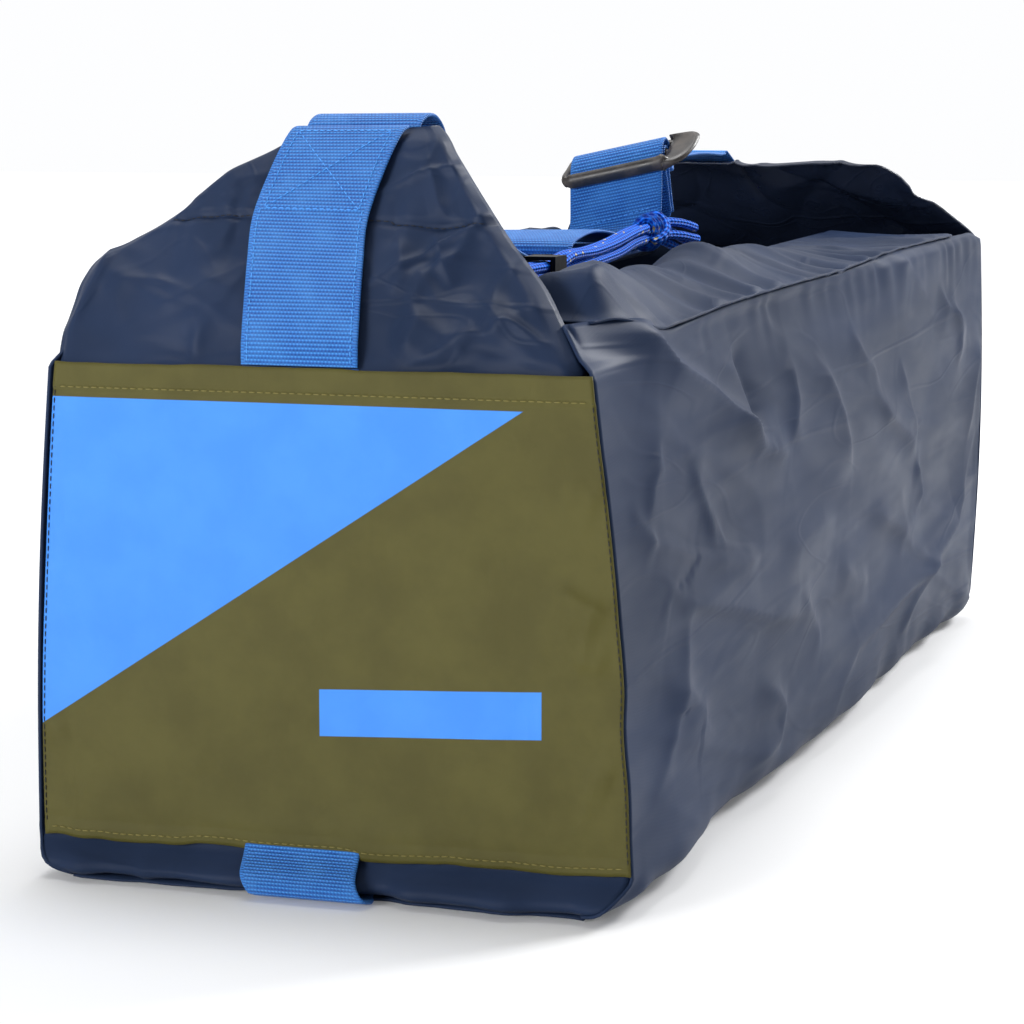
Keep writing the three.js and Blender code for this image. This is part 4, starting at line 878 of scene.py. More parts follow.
# End flaps. A near fold's points are of (x, z), and a far fold's of (x, y)
NEAR_FOLDS = [
    ([(-70, 252), (-30, 236), (-20, 222)], 2.0, 12, 0.4),
    ([(-20, 262), (-45, 250), (-62, 240), (-80, 232)], 2.4, 10, -0.4),
    ([(-104, 250), (-80, 240), (-60, 232)], 1.8, 9, 0.3),
    ([(-60, 236), (-56, 224), (-58, 216)], 1.4, 10, 0.3),
    ([(22, 266), (27, 250), (24, 240)], 2.0, 6, 0.3),
    ([(30, 292), (36, 278), (42, 270)], 1.8, 5, 0.4),
    ([(36, 268), (42, 255), (50, 244)], 2.2, 6, -0.4),
    ([(28, 258), (44, 240), (60, 236), (76, 238)], 2.4, 9, 0.4),
    ([(40, 238), (36, 226), (34, 216)], 2.0, 8, -0.3),
    ([(60, 234), (56, 224), (58, 215)], 1.6, 7, 0.3),
    ([(90, 240), (74, 232), (66, 222)], 1.6, 8, 0.3),
]
FAR_FOLDS = [
    ([(95, 370), (60, 340), (30, 318), (10, 306)], 4.0, 10, 0.4),
    ([(100, 345), (74, 330), (40, 322), (5, 326)], -3.5, 9, -0.3),
    ([(-100, 350), (-60, 335), (-30, 315)], 3.5, 10, 0.3),
    ([(20, 372), (30, 340), (60, 310)], 2.6, 8, 0.3),
    ([(84, 320), (92, 340), (96, 360)], 3.0, 7, 0.4),
    ([(-20, 372), (-10, 340), (-50, 310)], -2.5, 9, 0.3),
]
# height and half width of the far flap
FAR_HALF = [(225.0, 131), (234, 129), (244, 119), (251.5, 109), (256, 101), (265, 97), (274, 90), (279, 80),
            (282, 64)]
FLAP_ACROSS, FLAP_ROWS = 150, 78


def flap_hem(s):
    """Height of the near flap's hem, s from 0 at its left edge to 1."""
    return 270.5 + 3.0 * (0.5 - s)


def near_flap_cloth():
    rolled = FLAP_BEND + FLAP_TOP_ROLL * np.sin(np.linspace(0, np.pi / 2, 10)[1:])
    heights = np.concatenate([np.linspace(FLAP_FOOT, FLAP_BEND, FLAP_ROWS), rolled])
    S, Z = field(np.linspace(0, 1, FLAP_ACROSS), heights)
    X = lerp(along(NEAR_LEFT, Z), along(NEAR_RIGHT, Z), S)
    # the cloth leans back and bellies out a little low down, and its top edge rolls back
    belly = 3.0 * np.sin(np.pi * np.clip((Z - 214) / 86, 0, 1)) * np.sin(np.pi * S)
    Y = FLAP_FACE + (Z - FLAP_SEAM) * FLAP_LEAN - belly
    Y = Y + 5.5 * smooth((Z - 298) / 8) ** 2
    # side edges turn back
    Y = Y + 5 * smooth((0.03 - S) / 0.03) ** 1.5 + 7 * np.clip((S - 0.97) / 0.03, 0, 1) ** 1.3
    rough = (0.6 + 1.1 * smooth((X - 10) / 20) * smooth((285 - Z) / 30)) * smooth((0.985 - S) / 0.08)
    d = rough * crumple(X, Z, (2.1, 26, 21, 1.15, 2.2, 8), (1.6, 17, 27, -0.5, 2.0, 10))
    d = d + creases(X, Z, 22, 29, 0.35, 2.6, 10) * 1.2 + noise(X / 45, Z / 35, 22) * 2.4
    d = folded(d, X, Z, NEAR_FOLDS)
    # a stitched hem: the cloth puckers on both sides of it
    hem = flap_hem(S)
    pucker = np.sin(X / 3.4 + 2 * noise(X / 14, 0, 31)) * 0.8 * bell(Z, hem + 1, 9, 1.2)
    hem_step = 0.9 * smooth((Z - hem) / 1.2) - 1.1 * bell(Z, hem, 1.3)
    d = d + pucker * smooth((0.97 - S) / 0.1) * smooth(S / 0.08) + hem_step * smooth(S / 0.06)
    # the cloth lies flatter under the webbing
    d = 1.5 * d * (1 - 0.85 * bell(X, -10, 30, 4)) * smooth((Z - 213) / 6)
    P = stack(X, Y - d * 0.86, Z + d * 0.5 * smooth((Z - 214) / 10))
    obj = shell("near_flap_cloth", P, 1.2, stack(X, (Z - 214) * 1.16, 5.0))
    dress(obj, mat_flap)
    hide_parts("near_flap")
    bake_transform(obj)
    return P


def flap_hem_line(P):
    """A line of stitches along the hem, on the flap's grid of points."""
    columns = np.arange(4, FLAP_ACROSS - 4)
    hem = flap_hem(columns / (FLAP_ACROSS - 1))
    rows = np.interp(hem, np.linspace(FLAP_FOOT, FLAP_BEND, FLAP_ROWS), np.arange(FLAP_ROWS))
    at = columns, np.round(rows).astype(int)
    return P[at] + normals(P)[at] * 0.15, normals(P)[at]


def far_flap_cloth():
    """The far flap, S across and T up its slope; its outside faces up and away."""
    S, T = field(np.linspace(-1, 1, 150), np.linspace(0, 1, 60))
    Z, Y = lerp(*FAR_FLAP_Z, T), lerp(*FAR_FLAP_Y, T)
    X = S * along(FAR_HALF, Z) * np.where(S < 0, 0.985, 1.0)
    d = crumple(X, Y, (4.2, 34, 51, 1.2, 2.0, 6), (2.6, 26, 57, 0.5, 2.4, 8))
    d = folded(d + noise(X / 40, Y / 34, 52) * 4.5, X, Y, FAR_FOLDS)
    d = d * smooth(T / 0.12) * (1 - 0.8 * bell(X, -27, 30, 4))
    lip = 4.0 * smooth((T - 0.93) / 0.07) ** 2
    P = stack(X, Y + d * 0.5 - lip * 0.3, Z + d * 0.8 - lip)
    obj = shell("far_flap_cloth", P, 1.2, stack(X, T * 92, 9.0), flip=True)
    dress(obj, mat_navy_painted_shade)
    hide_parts("far_flap")
    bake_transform(obj)


flap_line = flap_hem_line(near_flap_cloth())
stitches("near_flap_hem_stitches", [flap_line], thread_navy, "near_flap", 3.0, 2.2, 0.24)
far_flap_cloth()

# Mouth flaps: the crest's height along y, the folds of (y, x) and how far the crest reaches across
CREST = [(-352, 246), (-330, 248), (-300, 248.5), (-240, 248.5), (-200, 247), (-150, 245.5), (-125, 250.5),
         (-100, 252), (-60, 250.5), (0, 245.0), (60, 240.5), (120, 237.5), (180, 234.5), (250, 231.5),
         (292, 231)]
MOUTH_FOLDS = [
    ([(-345, 96), (-320, 100), (-300, 112), (-286, 118)], 5.0, 7, 0.4),
    ([(-330, 70), (-290, 84), (-262, 100), (-250, 116)], 3.5, 7, -0.4),
    ([(-140, 60), (-112, 74), (-100, 92), (-96, 110)], 4.5, 14, 0.4),
    ([(-215, 64), (-190, 84), (-178, 104)], 2.2, 9, 0.3),
    ([(-40, 62), (-10, 80), (10, 104)], 2.2, 10, 0.3),
    ([(90, 66), (120, 90), (130, 112)], 2.4, 10, 0.3),
    ([(200, 66), (230, 92), (240, 116)], 2.2, 10, 0.3),
]
CREST_REACH = [(-352, 0.2), (-335, 0.22), (-312, 0.42), (-290, 0.52), (300, 0.52)]
MOUTH_GATHER = [(-335, 0.25), (-250, 0.5), (-150, 1.0), (200, 1.1), (290, 0.5)]


def hem_height(y):
    """Height of the drawcord channel's middle."""
    return lerp(*HEM_TOP, share(y)) - HEM_R


def mouth_cloth(name, sign, seed, nodes, body):
    """A mouth flap from its seam at t 0, over a crest, to the hem that turns round the drawcord."""
    y0 = np.linspace(MOUTH_FAR, MOUTH_NEAR, 250)[:, None]
    t = np.linspace(0, 1, 60)[None, :]
    turn = np.radians(np.linspace(90, 372, 22))[None, 1:]
    cap = MOUTH_NEAR - (17.0 if sign > 0 else 8.0) * smooth((0.78 - t) / 0.4)
    Y = lerp(MOUTH_FAR, cap, (MOUTH_FAR - y0) / (MOUTH_FAR - MOUTH_NEAR))
    top = shoulder(y0)
    near_in = smooth((-318 - Y) / 59) ** 0.8
    seam_x = lerp(half_width(Y, 1.0) - 0.2, flap_edge(230.0, sign) + 1.0, near_in)
    crest = along(CREST, y0)
    if sign < 0:
        crest = crest - 2 + 2.0 * noise(y0 / 50, 0, seed)
    crest = np.maximum(crest, top + 3 - 3.5 * smooth((y0 - 60) / 80))
    # rise from the seam to the crest at about half way, then fall to the hem; steep at the near end
    up = smooth(np.clip(t / along(CREST_REACH, Y), 0, 1)) ** 0.8
    down = smooth(np.clip((t - 0.5) / 0.5, 0, 1))
    Z = lerp(lerp(top + 0.2, crest, up), hem_height(y0) + HEM_R, down)
    X = lerp(seam_x, HEM_X, t)
    d = creases(Y, X, 34, seed, 1.2, 2.4, 5) * 1.5 + noise(Y / 60, X / 40, seed + 1) * 1.8
    dist = seam_x - X
    gather = np.sin(Y / 5.6 + dist * 0.06 + 1.8 * noise(Y / 30, X / 50, seed + 2))
    gather = gather * (0.55 + 0.45 * noise(Y / 17, X / 160, seed + 4))
    d = d + 2.3 * gather * bell(dist, 4, 26) * along(MOUTH_GATHER, Y)
    d = d + np.sin(Y / 4.8 + 2 * noise(Y / 22, 0, seed + 6)) * 1.3 * bell(X, HEM_X, 14)
    d = d * lerp(1.0, 0.7, smooth((Y - 60) / 120))
    d = folded(d, Y, X, MOUTH_FOLDS if sign > 0 else [])
    Z = Z + d * smooth(t / 0.04) * smooth((1 - t) / 0.06)
    Z = lerp(Z, top - 1.0, smooth((-337 - Y) / 13.5))
    ruff = 0.5 * np.sin(y0 / 4.8 + 2 * noise(y0 / 22, 0, seed + 6))
    hem_x = HEM_X + HEM_R * np.cos(turn) - ruff * smooth(turn - np.pi / 2) * 0.6
    X = np.concatenate([X, hem_x], axis=1)
    Y = np.concatenate([Y, np.repeat(y0, turn.shape[1], axis=1)], axis=1)
    Z = np.concatenate([Z, hem_height(y0) + HEM_R * np.sin(turn)], axis=1)
    width = np.concatenate([t * 66, 66 + HEM_R * (turn - np.pi / 2)], axis=1)
    obj = shell(name, stack(X, Y, Z), 0.9, stack(Y, width, seed), mirror=sign < 0)
    dress(obj, mat_navy, body, nodes)


mouth_cloth("right_mouth_cloth", 1, 101, ["right_mouth_flap"], "right_mouth")
mouth_cloth("left_mouth_cloth", -1, 141, ["left_mouth_flap"], "left_mouth")


# Webbing
def strap(name, stations, body, nodes):
    obj, at, length = band(name, stations)
    dress(obj, mat_web, body, nodes)
    return at, length


def line_on(at, start, end, out=1.0, count=40):
    """A straight line of points and normals on a band, from one (x, s) to another."""
    places = [at(lerp(start[0], end[0], f), lerp(start[1], end[1], f), out) for f in np.linspace(0, 1, count)]
    return [p + q * 0.12 for p, q in places], [q for _, q in places]


def x_box(at, length, out=1.0):
    """A box of stitches with a cross, at the end of a band."""
    half, s0, s1 = 20.3, length - 44, length - 5.5
    a, b, c, d = (-half, s0), (half, s0), (half, s1), (-half, s1)
    return [line_on(at, p, q, out) for p, q in ((a, b), (d, c), (a, d), (b, c), (a, c), (b, d))]


def at_slider(track):
    """Stations of (y, z) where the carry strap wraps the slider."""
    return [(STRAP_X, y, z, ROLL) for y, z in track]


strap("belly_webbing", [(WEBBING_X, y, 0.9) for y in (-352, 0, 368)], "bag", ["belly_strap"])
NEAR_END = [
    (WEBBING_X, -352, 0.9), (-6, -372, 0.9), (-1.5, -387, 1.3), (-3.0, -394.2, 4), (-6.6, -392, 9),
    (WEBBING_X, -381.6, 17), (WEBBING_X, -378.3, 26), (WEBBING_X, -378.3, 60), (WEBBING_X, -378.3, 140),
    (WEBBING_X, -378.2, 213.6),
]
FAR_END = [(WEBBING_X, y, z) for y, z in ((369, 0.9), (373.5, 1.3), (377.6, 4.5), (379, 9), (379, 60),
                                          (379, 140), (379, 222.8))]
strap("near_end_webbing", NEAR_END, "bag", ["near_end_strap"])
strap("far_end_webbing", FAR_END, "bag", ["far_end_strap"])

NEAR_STRAP = [(-9, -379.2, 214.2, 0), (-9.6, -377.6, 222, 0), (-11, -371.5, 236, 0), (-13.2, -361.8, 254, -1),
              (-15.2, -351, 271, -1), (-12.5, -338.5, 290, 0), (-9.6, -329, 302.6, 0.5),
              (-8.4, -324.6, 306.4, 0.6), (-8, -321.4, 307.2, 0.6)]
near_at, near_len = strap("near_flap_webbing", NEAR_STRAP, "near_flap", ["near_flap_strap"])
box = x_box(near_at, near_len) + [line_on(near_at, (x, 1), (x, near_len - 44), 1, 60) for x in (-22, 22)]
stitches("near_flap_webbing_stitches", box, thread_blue, "near_flap")

FAR_STRAP = [(-9, 379.6, 225.4, 0), (-11, 374, 231.5, 0), (-18, 352, 248.2, 0), (-26, 326, 267.8, 0),
             (-33, 303.6, 284.6, 0)]
far_at, far_len = strap("far_flap_webbing", FAR_STRAP, "far_flap", ["far_flap_strap"])
up = 1.0 if far_at(0, far_len / 2)[1][2] > 0 else -1.0
stitches("far_flap_webbing_stitches", x_box(far_at, far_len, up), thread_blue, "far_flap")

CARRY_NEAR = [
    (-5, -318.6, 303.6, 0.6), (-4.4, -316.4, 308.6, 0.6), (-3.4, -310, 311.8, 0.6), (-2.4, -304, 311.4, 0.6),
    (-1.4, -298.6, 307.6, 0.6), (-1, -294.6, 302, 0.6), (-0.4, -284, 291.5, 0.5), (0.6, -264, 276.5, 0.4),
    (1.6, -242, 264.5, 0), (1.2, -214, 254.0, 0), (0.4, -186, 247.6, 0), (0, -150, 243.8, 0),
    (0, -118, 242.2, 0), (0, -60, 241.4, 0), (0, 4, 241.6, 0), (0.4, 18, 242.2, 1), (1.6, 28.5, 244.6, 4),
    (3.4, 34.2, 249.6, 9), (5.9, 35.0, 254.4, ROLL),
    *at_slider([(32.6, 259.8), (27.2, 271), (21.4, 281.6), (20.5, 284.8), (22.6, 288), (26.6, 287.4),
                (28.4, 283), (30.6, 276), (33.6, 268), (39.6, 254.6)]),
]
CARRY_FAR = [
    (-33, 299.2, 283.6, 0), (-31, 282, 282.2, 3), (-24, 230, 281.8, 8), (-14, 160, 281.6, 11.5),
    (-4, 90, 280.4, 13), (3, 50, 277.6, 13),
    *at_slider([(38, 276.2), (33.2, 279.2), (31.7, 284.6), (29.6, 289.6), (24.0, 292.2), (18.4, 289.8),
                (16.5, 284.4), (16.4, 272)]),
    (5.9, 16.3, 258.6, ROLL), (5.4, 15.4, 252.8, ROLL * 0.8), (3.4, 11.6, 248.6, ROLL * 0.5),
    (0.8, 4.6, 246.6, 2.5), (0, -8, 246.4, 0), (0.3, -50, 252, 0.6), (0.6, -84, 254.4, 1),
    (0.3, -108, 252.8, 0.6), (0, -119, 250.6, 0), (0, -121.6, 247.9, 0), (0, -119, 245.6, 0),
    (0, -108, 245.2, 0), (0, -70, 246.6, 0), (0, -40, 244.8, 0), (0, -3.6, 243.8, 0),
]
strap("carry_webbing_near", CARRY_NEAR, "carry_strap", ["carry_strap_near"])
carry_at, carry_len = strap("carry_webbing_far", CARRY_FAR, "carry_strap", ["carry_strap_far"])


def carry_cross_line():
    """A line of stitches across the strap where it hangs in front below the slider."""
    front_y, low, high, level = 16.4, 254, 282, 262.5
    middle = {q: carry_at(0, q) for q in np.linspace(0, carry_len, 1600)}
    front = [q for q, (p, _) in middle.items() if low < p[2] < high and abs(p[1] - front_y) < 0.6]
    row = min(front, key=lambda q: abs(middle[q][0][2] - level))
    out = 1.0 if middle[row][1][1] < 0 else -1.0
    return line_on(carry_at, (-22, row + 2), (22, row - 2), out)


stitches("carry_webbing_cross_stitches", [carry_cross_line()], thread_blue, "carry_strap")


# Slider
def slider_bar(points, wide, tall, flare=0.0, sides=16):
    """Points and faces of one bar. With flare it is taller beside the strap."""
    path = resample(points, 1.6)
    n = len(path)
    T = unit(np.gradient(path, axis=0))
    U = unit(np.cross([0, 0, 1.0], T))
    grow = np.minimum(1.0, 0.35 + 0.35 * np.minimum(np.arange(n), np.arange(n)[::-1]))[:, None, None]
    height = (tall * (1 + flare * smooth((path[:, 0] - 22) / 7)))[:, None, None]
    a = np.linspace(0, TAU, sides, endpoint=False)[None, :, None]
    ring = np.cos(a) * U[:, None] * wide + np.sin(a) * np.cross(T, U)[:, None] * height
    return (path[:, None] + ring * grow).reshape(-1, 3), ring_faces(n, sides)


def slider_wing(inside):
    """Points and faces of the leaf-shaped right rail: two faces that meet along its outline."""
    layers = 7
    leaf = [(-2, -16), (5, -15.4), (12, -9), (15.5, 2), (15, 10), (10.5, 14.6), (3.4, 15.4), (-2, 15.2)]
    outline = resample([(inside + x, y, 0) for x, y in leaf], 1.2)
    count = len(outline)
    f = np.linspace(0, 1, layers)[:, None]
    x = lerp(inside + 0.2, outline[:, 0], f)
    y = lerp(np.linspace(-15.4, 14.6, count), outline[:, 1], f)
    rise = 2.3 * np.sqrt(np.maximum(0.0, 1 - f ** 2.6))
    lean = 1.6 * f * f + 0.16 * f * y
    upper = np.arange(layers * count).reshape(layers, count)
    lower = np.concatenate([upper[:-1] + layers * count, upper[-1:]])
    both = stack(x, y, lean + rise), stack(x, y, lean - rise)[:-1]
    verts = np.concatenate([side.reshape(-1, 3) for side in both])
    faces = [*quads(upper), *quads(lower)[:, ::-1], *quads(np.stack([upper[0], lower[0]]))]
    for end in (0, -1):
        rim = quads(np.stack([upper[:, end], lower[:, end]]))[:, ::-1 if end else 1]
        faces += [list(dict.fromkeys(q)) for q in rim.tolist()]
    return verts, faces


def slider_mesh():
    inside, pitch = 26.7, 13.0
    left = -inside - 0.7
    parts = [
        slider_bar([(-inside - 1, -pitch, 0), (0, -pitch - 0.2, -0.1), (inside + 2, -pitch, 0)],
                   2.9, 3.77, 0.45),
        slider_bar([(-inside - 2, 0, 0), (0, 0, 0), (inside + 2, 0, 0)], 2.3, 2.07),
        slider_bar([(-inside - 2, pitch, 0), (0, pitch, 0), (inside + 2, pitch, 0)], 2.6, 2.34),
        slider_bar([(-inside + 3, -pitch - 0.2, 0), (-inside, -pitch + 0.8, 0.2), (left, -pitch + 3.6, 0.4),
                    (left, 0, 0.2), (left, pitch - 3, 0), (-inside, pitch - 0.6, 0), (-inside + 3, pitch, 0)],
                   2.2, 3.08),
        slider_wing(inside),
    ]
    faces, first = [], 0
    for verts, part_faces in parts:
        faces += [[first + i for i in face] for face in part_faces]
        first += len(verts)
    x, y, z = np.concatenate([verts for verts, _ in parts]).T
    tilt, roll = math.radians(20), math.radians(ROLL)
    y, z = y * math.cos(tilt) - z * math.sin(tilt), y * math.sin(tilt) + z * math.cos(tilt)
    x, z = x * math.cos(roll) - z * math.sin(roll), x * math.sin(roll) + z * math.cos(roll)
    middle_y, middle_z = 24, 284.5
    obj = new_object("strap_slider_body", stack(x + STRAP_X, y + middle_y, z + middle_z), faces)
    bm = bmesh.new()
    bm.from_mesh(obj.data)
    bmesh.ops.recalc_face_normals(bm, faces=bm.faces)
    bm.to_mesh(obj.data)
    bm.free()
    dress(obj, mat_slider, "slider", ["strap_slider"])


slider_mesh()

# Drawcord
STRANDS = {
    "drawcord_right_outer": [
        (56.6, -335.6, 227.1), (56.4, -342, 227.6), (55, -349, 231.5), (52.8, -350.5, 240), (50.2, -345, 248),
        (47.5, -332, 251.8), (44.4, -310, 250.4), (41.2, -284, 246.8), (39.4, -262, 245.1),
        (39.2, -248, 244.9), (39.2, -222, 244.9), (39.2, -188, 244.9), (38.7, -168, 247.4),
        (38.1, -130, 247.6), (37.0, -90, 249.6), (35.4, -55, 252.4), (33.9, -26, 253.8)],
    "drawcord_right_inner": [
        (51.4, -335.6, 227.1), (51.2, -341.5, 227.6), (49.8, -348.5, 231.5), (47.6, -350, 237),
        (45.2, -345, 242), (43, -332, 245.2), (41, -310, 244.6), (39.7, -284, 241.6), (39.2, -262, 240.3),
        (39.2, -248, 240.1), (39.2, -222, 240.1), (39.2, -188, 240.1), (39.3, -168, 241.2),
        (39.2, -130, 242.8), (38.0, -90, 244.6), (35.8, -55, 247.6), (33.9, -26, 248.4)],
    "drawcord_left_inner": [
        (-51.4, -335.6, 227.1), (-51.2, -341, 226.8), (-45, -348.5, 226.6), (-30, -349.5, 227.6),
        (-10, -344, 229.6), (10, -330, 233), (24, -308, 237.8), (31.2, -285, 242.2), (33.8, -262, 244.7),
        (34, -248, 244.9), (34, -222, 244.9), (34, -188, 244.9), (33.6, -168, 247.4), (33, -130, 247.6),
        (32, -90, 249.6), (30.4, -55, 252.4), (29.1, -26, 253.8)],
    "drawcord_left_outer": [
        (-56.6, -335.6, 227.1), (-56.6, -344, 226.8), (-49, -355, 226.5), (-30, -357.5, 226.6),
        (-8, -352, 227), (12, -338.5, 228.2), (26, -314, 230.6), (32, -288, 236.4), (33.9, -264, 239.8),
        (34, -248, 240.1), (34, -222, 240.1), (34, -188, 240.1), (34, -168, 241.2), (33.8, -130, 242.8),
        (32.6, -90, 244.6), (30.6, -55, 247.6), (29.1, -26, 248.4)],
}
TAILS = [
    [(34.6, -9, 254.6), (36, 0, 255.8), (39, 16, 255), (40.8, 28, 253.4), (41.8, 38, 251.6)],
    [(34.6, -9, 249.2), (36.8, 0, 249.6), (40.6, 16, 248.6), (42.4, 26, 247.2), (43.4, 36, 246)],
    [(30, -9, 254.2), (31.4, 0, 253.8), (35, 14, 250.8), (37, 26, 247.4), (38, 34, 245.2)],
    [(30, -9, 248.4), (31.8, 0, 247.4), (35, 12, 244.6), (36.8, 22, 241.8), (38, 30, 240)],
]
CROSS = [(37.2, -27, 247), (40.6, -22, 249), (41.6, -16, 252.2), (39, -10.8, 256.6), (35, -10.2, 259.6),
         (30.6, -12.6, 258.4), (28.8, -15.4, 255)]


def wrap(name, centre, half_x, half_z, lean, turn):
    """One turn of cord round the strands in the knot."""
    a = np.linspace(0, TAU, 17)
    c, s = np.cos(a), np.sin(a)
    points = np.array(centre) + stack(half_x * c, lean * c + turn * s, half_z * s)
    obj, _ = tube(name, points, 2.35, 12, 1.2, closed=True)
    return dress(obj, mat_cord, "bag")


def knot():
    wraps = [
        wrap("knot_wrap_a", (33.0, -24.5, 251.5), 4.6, 6.8, 2.0, 1.6),
        wrap("knot_wrap_b", (33.4, -18.8, 251.8), 5.2, 7.4, 2.0, 1.2),
        wrap("knot_wrap_c", (33.2, -13.0, 251.4), 4.6, 6.2, -2.0, -1.8),
    ]
    cross, _ = tube("knot_cross", CROSS, CORD_R, 12, 1.2)
    return [*wraps, dress(cross, mat_cord, "bag", ["drawcord_knot"])]


def lock_spring():
    """The lock's spring as its own coil."""
    low, high = [np.array(p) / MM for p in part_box("cord_lock_spring")]
    wire, turns, travel = 0.4, 3, 2.5
    centre = (low + high) / 2
    radius = (high[0] - low[0]) / 2 - wire
    angle = np.linspace(0, TAU * turns, 24 * turns + 1)
    rise = np.linspace(low[2] + wire, high[2] - wire, len(angle))
    points = stack(centre[0] + radius * np.cos(angle), centre[1] + radius * np.sin(angle), rise)
    obj, _ = tube("cord_lock_spring_coil", points, wire, 8, 0.5)
    dress(obj, mat_steel, "cord_lock", ["cord_lock_spring"])
    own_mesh(obj)
    return obj


def drawcord(node, route):
    obj, path = tube(node + "_braid", route, CORD_R)
    dress(obj, mat_cord, "bag", [node])
    float(run_length(path)[-1]) * MM


def channel_cord(side, body, place, word):
    """A cord inside a mouth flap's hem."""
    x = side * (HEM_X + place * 2.45)
    last_y, below = 289.6, 1.6
    route = [(x, min(y, last_y), hem_height(y) - below) for y in (-335, 0, MOUTH_FAR)]
    obj, _ = tube(f"channel_cord_{word}_{body}", route, CORD_R, 10, 4.0)
    dress(obj, mat_cord, body, [f"channel_cord_{'right' if side > 0 else 'left'}_{word}"])


knot_parts = knot()
lock_pieces = [lock_spring(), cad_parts["cord_lock_body"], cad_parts["cord_lock_button"]]
for i, (node, route) in enumerate(STRANDS.items()):
    drawcord(node, route)
for i, route in enumerate(TAILS):
    drawcord(f"drawcord_tail_{i + 1}", route)
for side, body in ((1, "right_mouth"), (-1, "left_mouth")):
    for place, word in ((-1, "inner"), (1, "outer")):
        channel_cord(side, body, place, word)
for node in ("cord_lock_body", "cord_lock_button"):
    paint(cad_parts[node], mat_lock)


# Contents
def canopy_roll_cloth():
    """The canopy rolled up: a spiral at both ends and its free edge along the top."""
    half_x, half_z, centre, half_y, end_round = 104.0, 81.95, 140.05, 345.0, 40.0
    quarter = np.linspace(0, np.pi / 2, 12)[1:]
    flat = np.linspace(0.04, 1 - end_round / half_x, 26)
    radii = np.concatenate([flat, (half_x - end_round * (1 - np.sin(quarter))) / half_x])
    ends = np.concatenate([np.full(len(flat), half_y), half_y - end_round * (1 - np.cos(quarter))])
    body = np.linspace(half_y - end_round, -(half_y - end_round), 130)[1:-1]
    A, R = field(np.linspace(0, TAU, 150), np.concatenate([radii, np.full(len(body), 1.0), radii[::-1]]))
    Y = np.broadcast_to(np.concatenate([ends, body, -ends[::-1]]), R.shape)
    spiral = 0.5 - 0.5 * np.cos(TAU * (R * half_x / 9.0 + A / TAU))
    on_end = smooth((np.abs(Y) - 328) / 12)
    folds = creases(Y, A * 90, 40, 201, 0.15, 4.0, 6) * 1.4 + noise(Y / 80, A * 2, 202)
    shrink = 0.985 - 0.02 * A / TAU * (1 - on_end) - 0.006 * np.clip(folds + 1, 0, 3) * (1 - on_end)
    Y = Y - np.sign(Y) * 3.4 * spiral * on_end
    angle = A + 1.1
    P = stack(half_x * R * shrink * np.cos(angle), Y, centre + half_z * R * shrink * np.sin(angle))
    obj = shell("canopy_roll_cloth", P, 0.8, stack(Y, A * 92, R * 50))
    dress(obj, mat_grey, "bag", ["canopy_roll"])


def tie_webbing(node, stations, thick, step):
    obj, _, _ = band(node + "_webbing", stations, width=25.0, thick=thick, step=step, across=6)
    dress(obj, mat_tie, "bag", [node])


def canopy_tie_band(node, y):
    """A webbing tie round the roll."""
    half_x, half_z, centre = 105.0, 82.95, 140.05
    angles = np.linspace(-np.pi / 2, 1.5 * np.pi, 49)
    stations = [(half_x * math.cos(a), y, centre + half_z * math.sin(a), 0.0, 90.0) for a in angles]
    tie_webbing(node, stations, 1.3, 3.0)


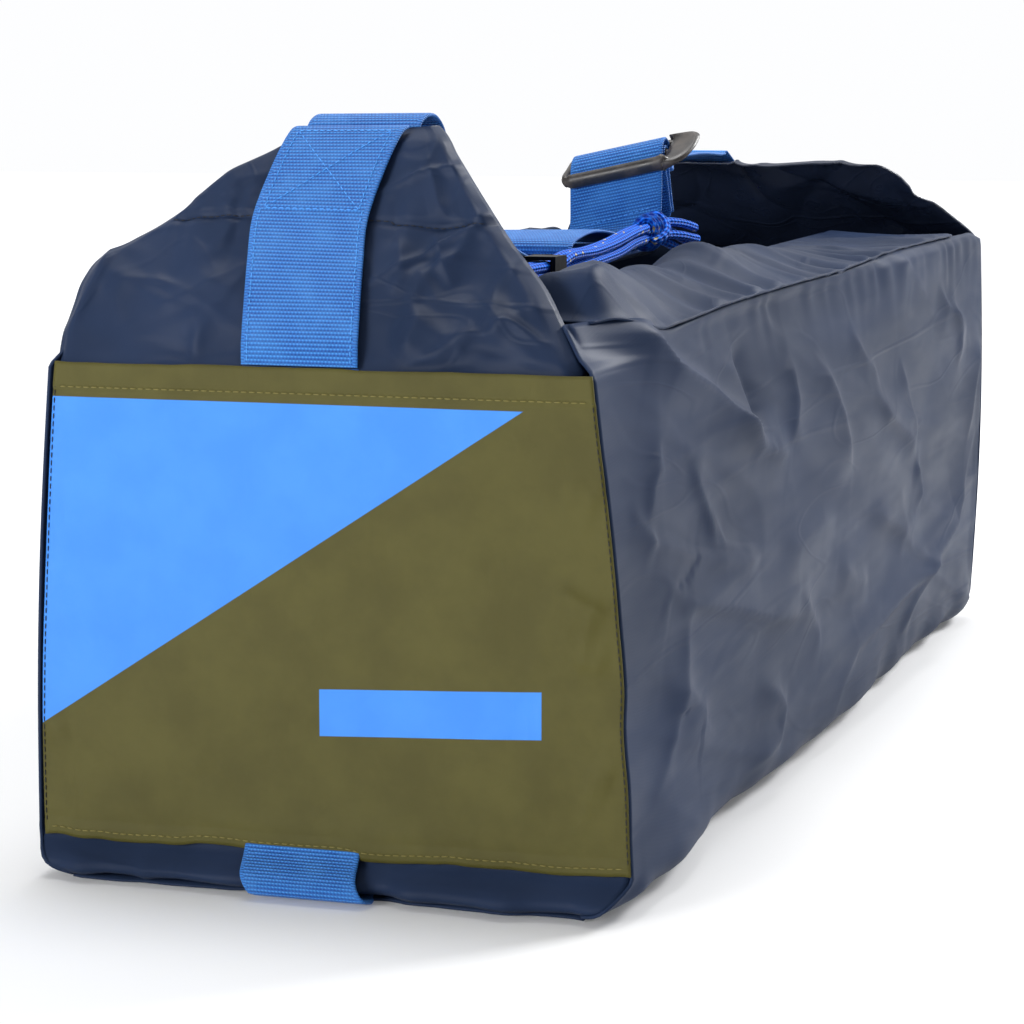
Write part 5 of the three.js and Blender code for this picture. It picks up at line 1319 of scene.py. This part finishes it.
def long_bag_cloth(node, centre_x, width, height, length, corner, load, seed):
    """A drawn-in bag along y: full over its load and gathered at both ends."""
    floor_z = 3.8
    outline = []
    for cx, cz, a0 in ((1, 1, 0), (-1, 1, 1), (-1, -1, 2), (1, -1, 3)):
        a = np.linspace(a0, a0 + 1, 9) * np.pi / 2
        out = cx * (width / 2 - corner) + corner * np.cos(a), cz * (height / 2 - corner) + corner * np.sin(a)
        outline += list(zip(*out))
    outline = np.array(outline + outline[:1])[::-1]
    lengths = run_length(outline)
    at = np.linspace(0, lengths[-1], 96)
    ring_x, ring_z = sampled(outline, lengths, at).T
    spans = ((-length, -load, 16), (-load, load, 90), (load, length, 16))
    before, full, after = [np.linspace(start / 2, end / 2, count) for start, end, count in spans]
    Y, X = field(np.concatenate([before, full[1:-1], after]), ring_x)
    out = np.clip((np.abs(Y) - load / 2) / (length / 2 - load / 2), 0, 1)
    pleat = 1 + 0.05 * out * np.sin(at / 3.1 + 1.5 * noise(at[None, :] / 20, Y / 30, seed))
    neck = lerp(1.0, 0.34, smooth(out)) * pleat * np.where(out > 0.999, 0.2, 1.0)
    scale = neck * (1 - 0.006 * (1 + creases(Y, at[None, :], 24, seed + 1, 0.3, 3.0, 5)))
    P = stack(centre_x + X * scale, Y, floor_z + height / 2 + ring_z * scale)
    obj = shell(node + "_cloth", P, 0.6, stack(Y, at, ring_z))
    dress(obj, mat_bagcloth, "bag", [node])


def folded_strap(node, y):
    """A vehicle strap folded back and forth in six layers."""
    x, bottom, pitch, half, turns = -58.9, 4.5, 2.2, 59.0, 6
    stations = []
    for i in range(turns):
        z, way = bottom + i * pitch, 1 if i % 2 == 0 else -1
        for f in (-1.0, -0.5, 0.0, 0.5, 1.0):
            stations.append((x, y + way * half * f, z + 0.15 * (1 - f * f)))
        if i < turns - 1:
            stations.append((x, y + way * (half + 1.2), z + pitch / 2))
    tie_webbing(node, stations, 1.25, 0.8)


canopy_roll_cloth()
canopy_tie_band("canopy_tie_near", -170.0)
canopy_tie_band("canopy_tie_far", 170.0)
long_bag_cloth("pole_bag", -9.0, 74.0, 52.0, 660.0, 10.0, 624.0, 211)
long_bag_cloth("peg_bag", 51.4, 46.0, 34.0, 240.0, 7.0, 196.0, 221)
folded_strap("vehicle_strap_near", -100.0)
folded_strap("vehicle_strap_far", 100.0)

for node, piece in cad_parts.items():
    for start, look in (("pole_section", mat_pole), ("ground_peg", mat_peg), ("vehicle_hook", mat_hook)):
        if node.startswith(start):
            paint(piece, look)
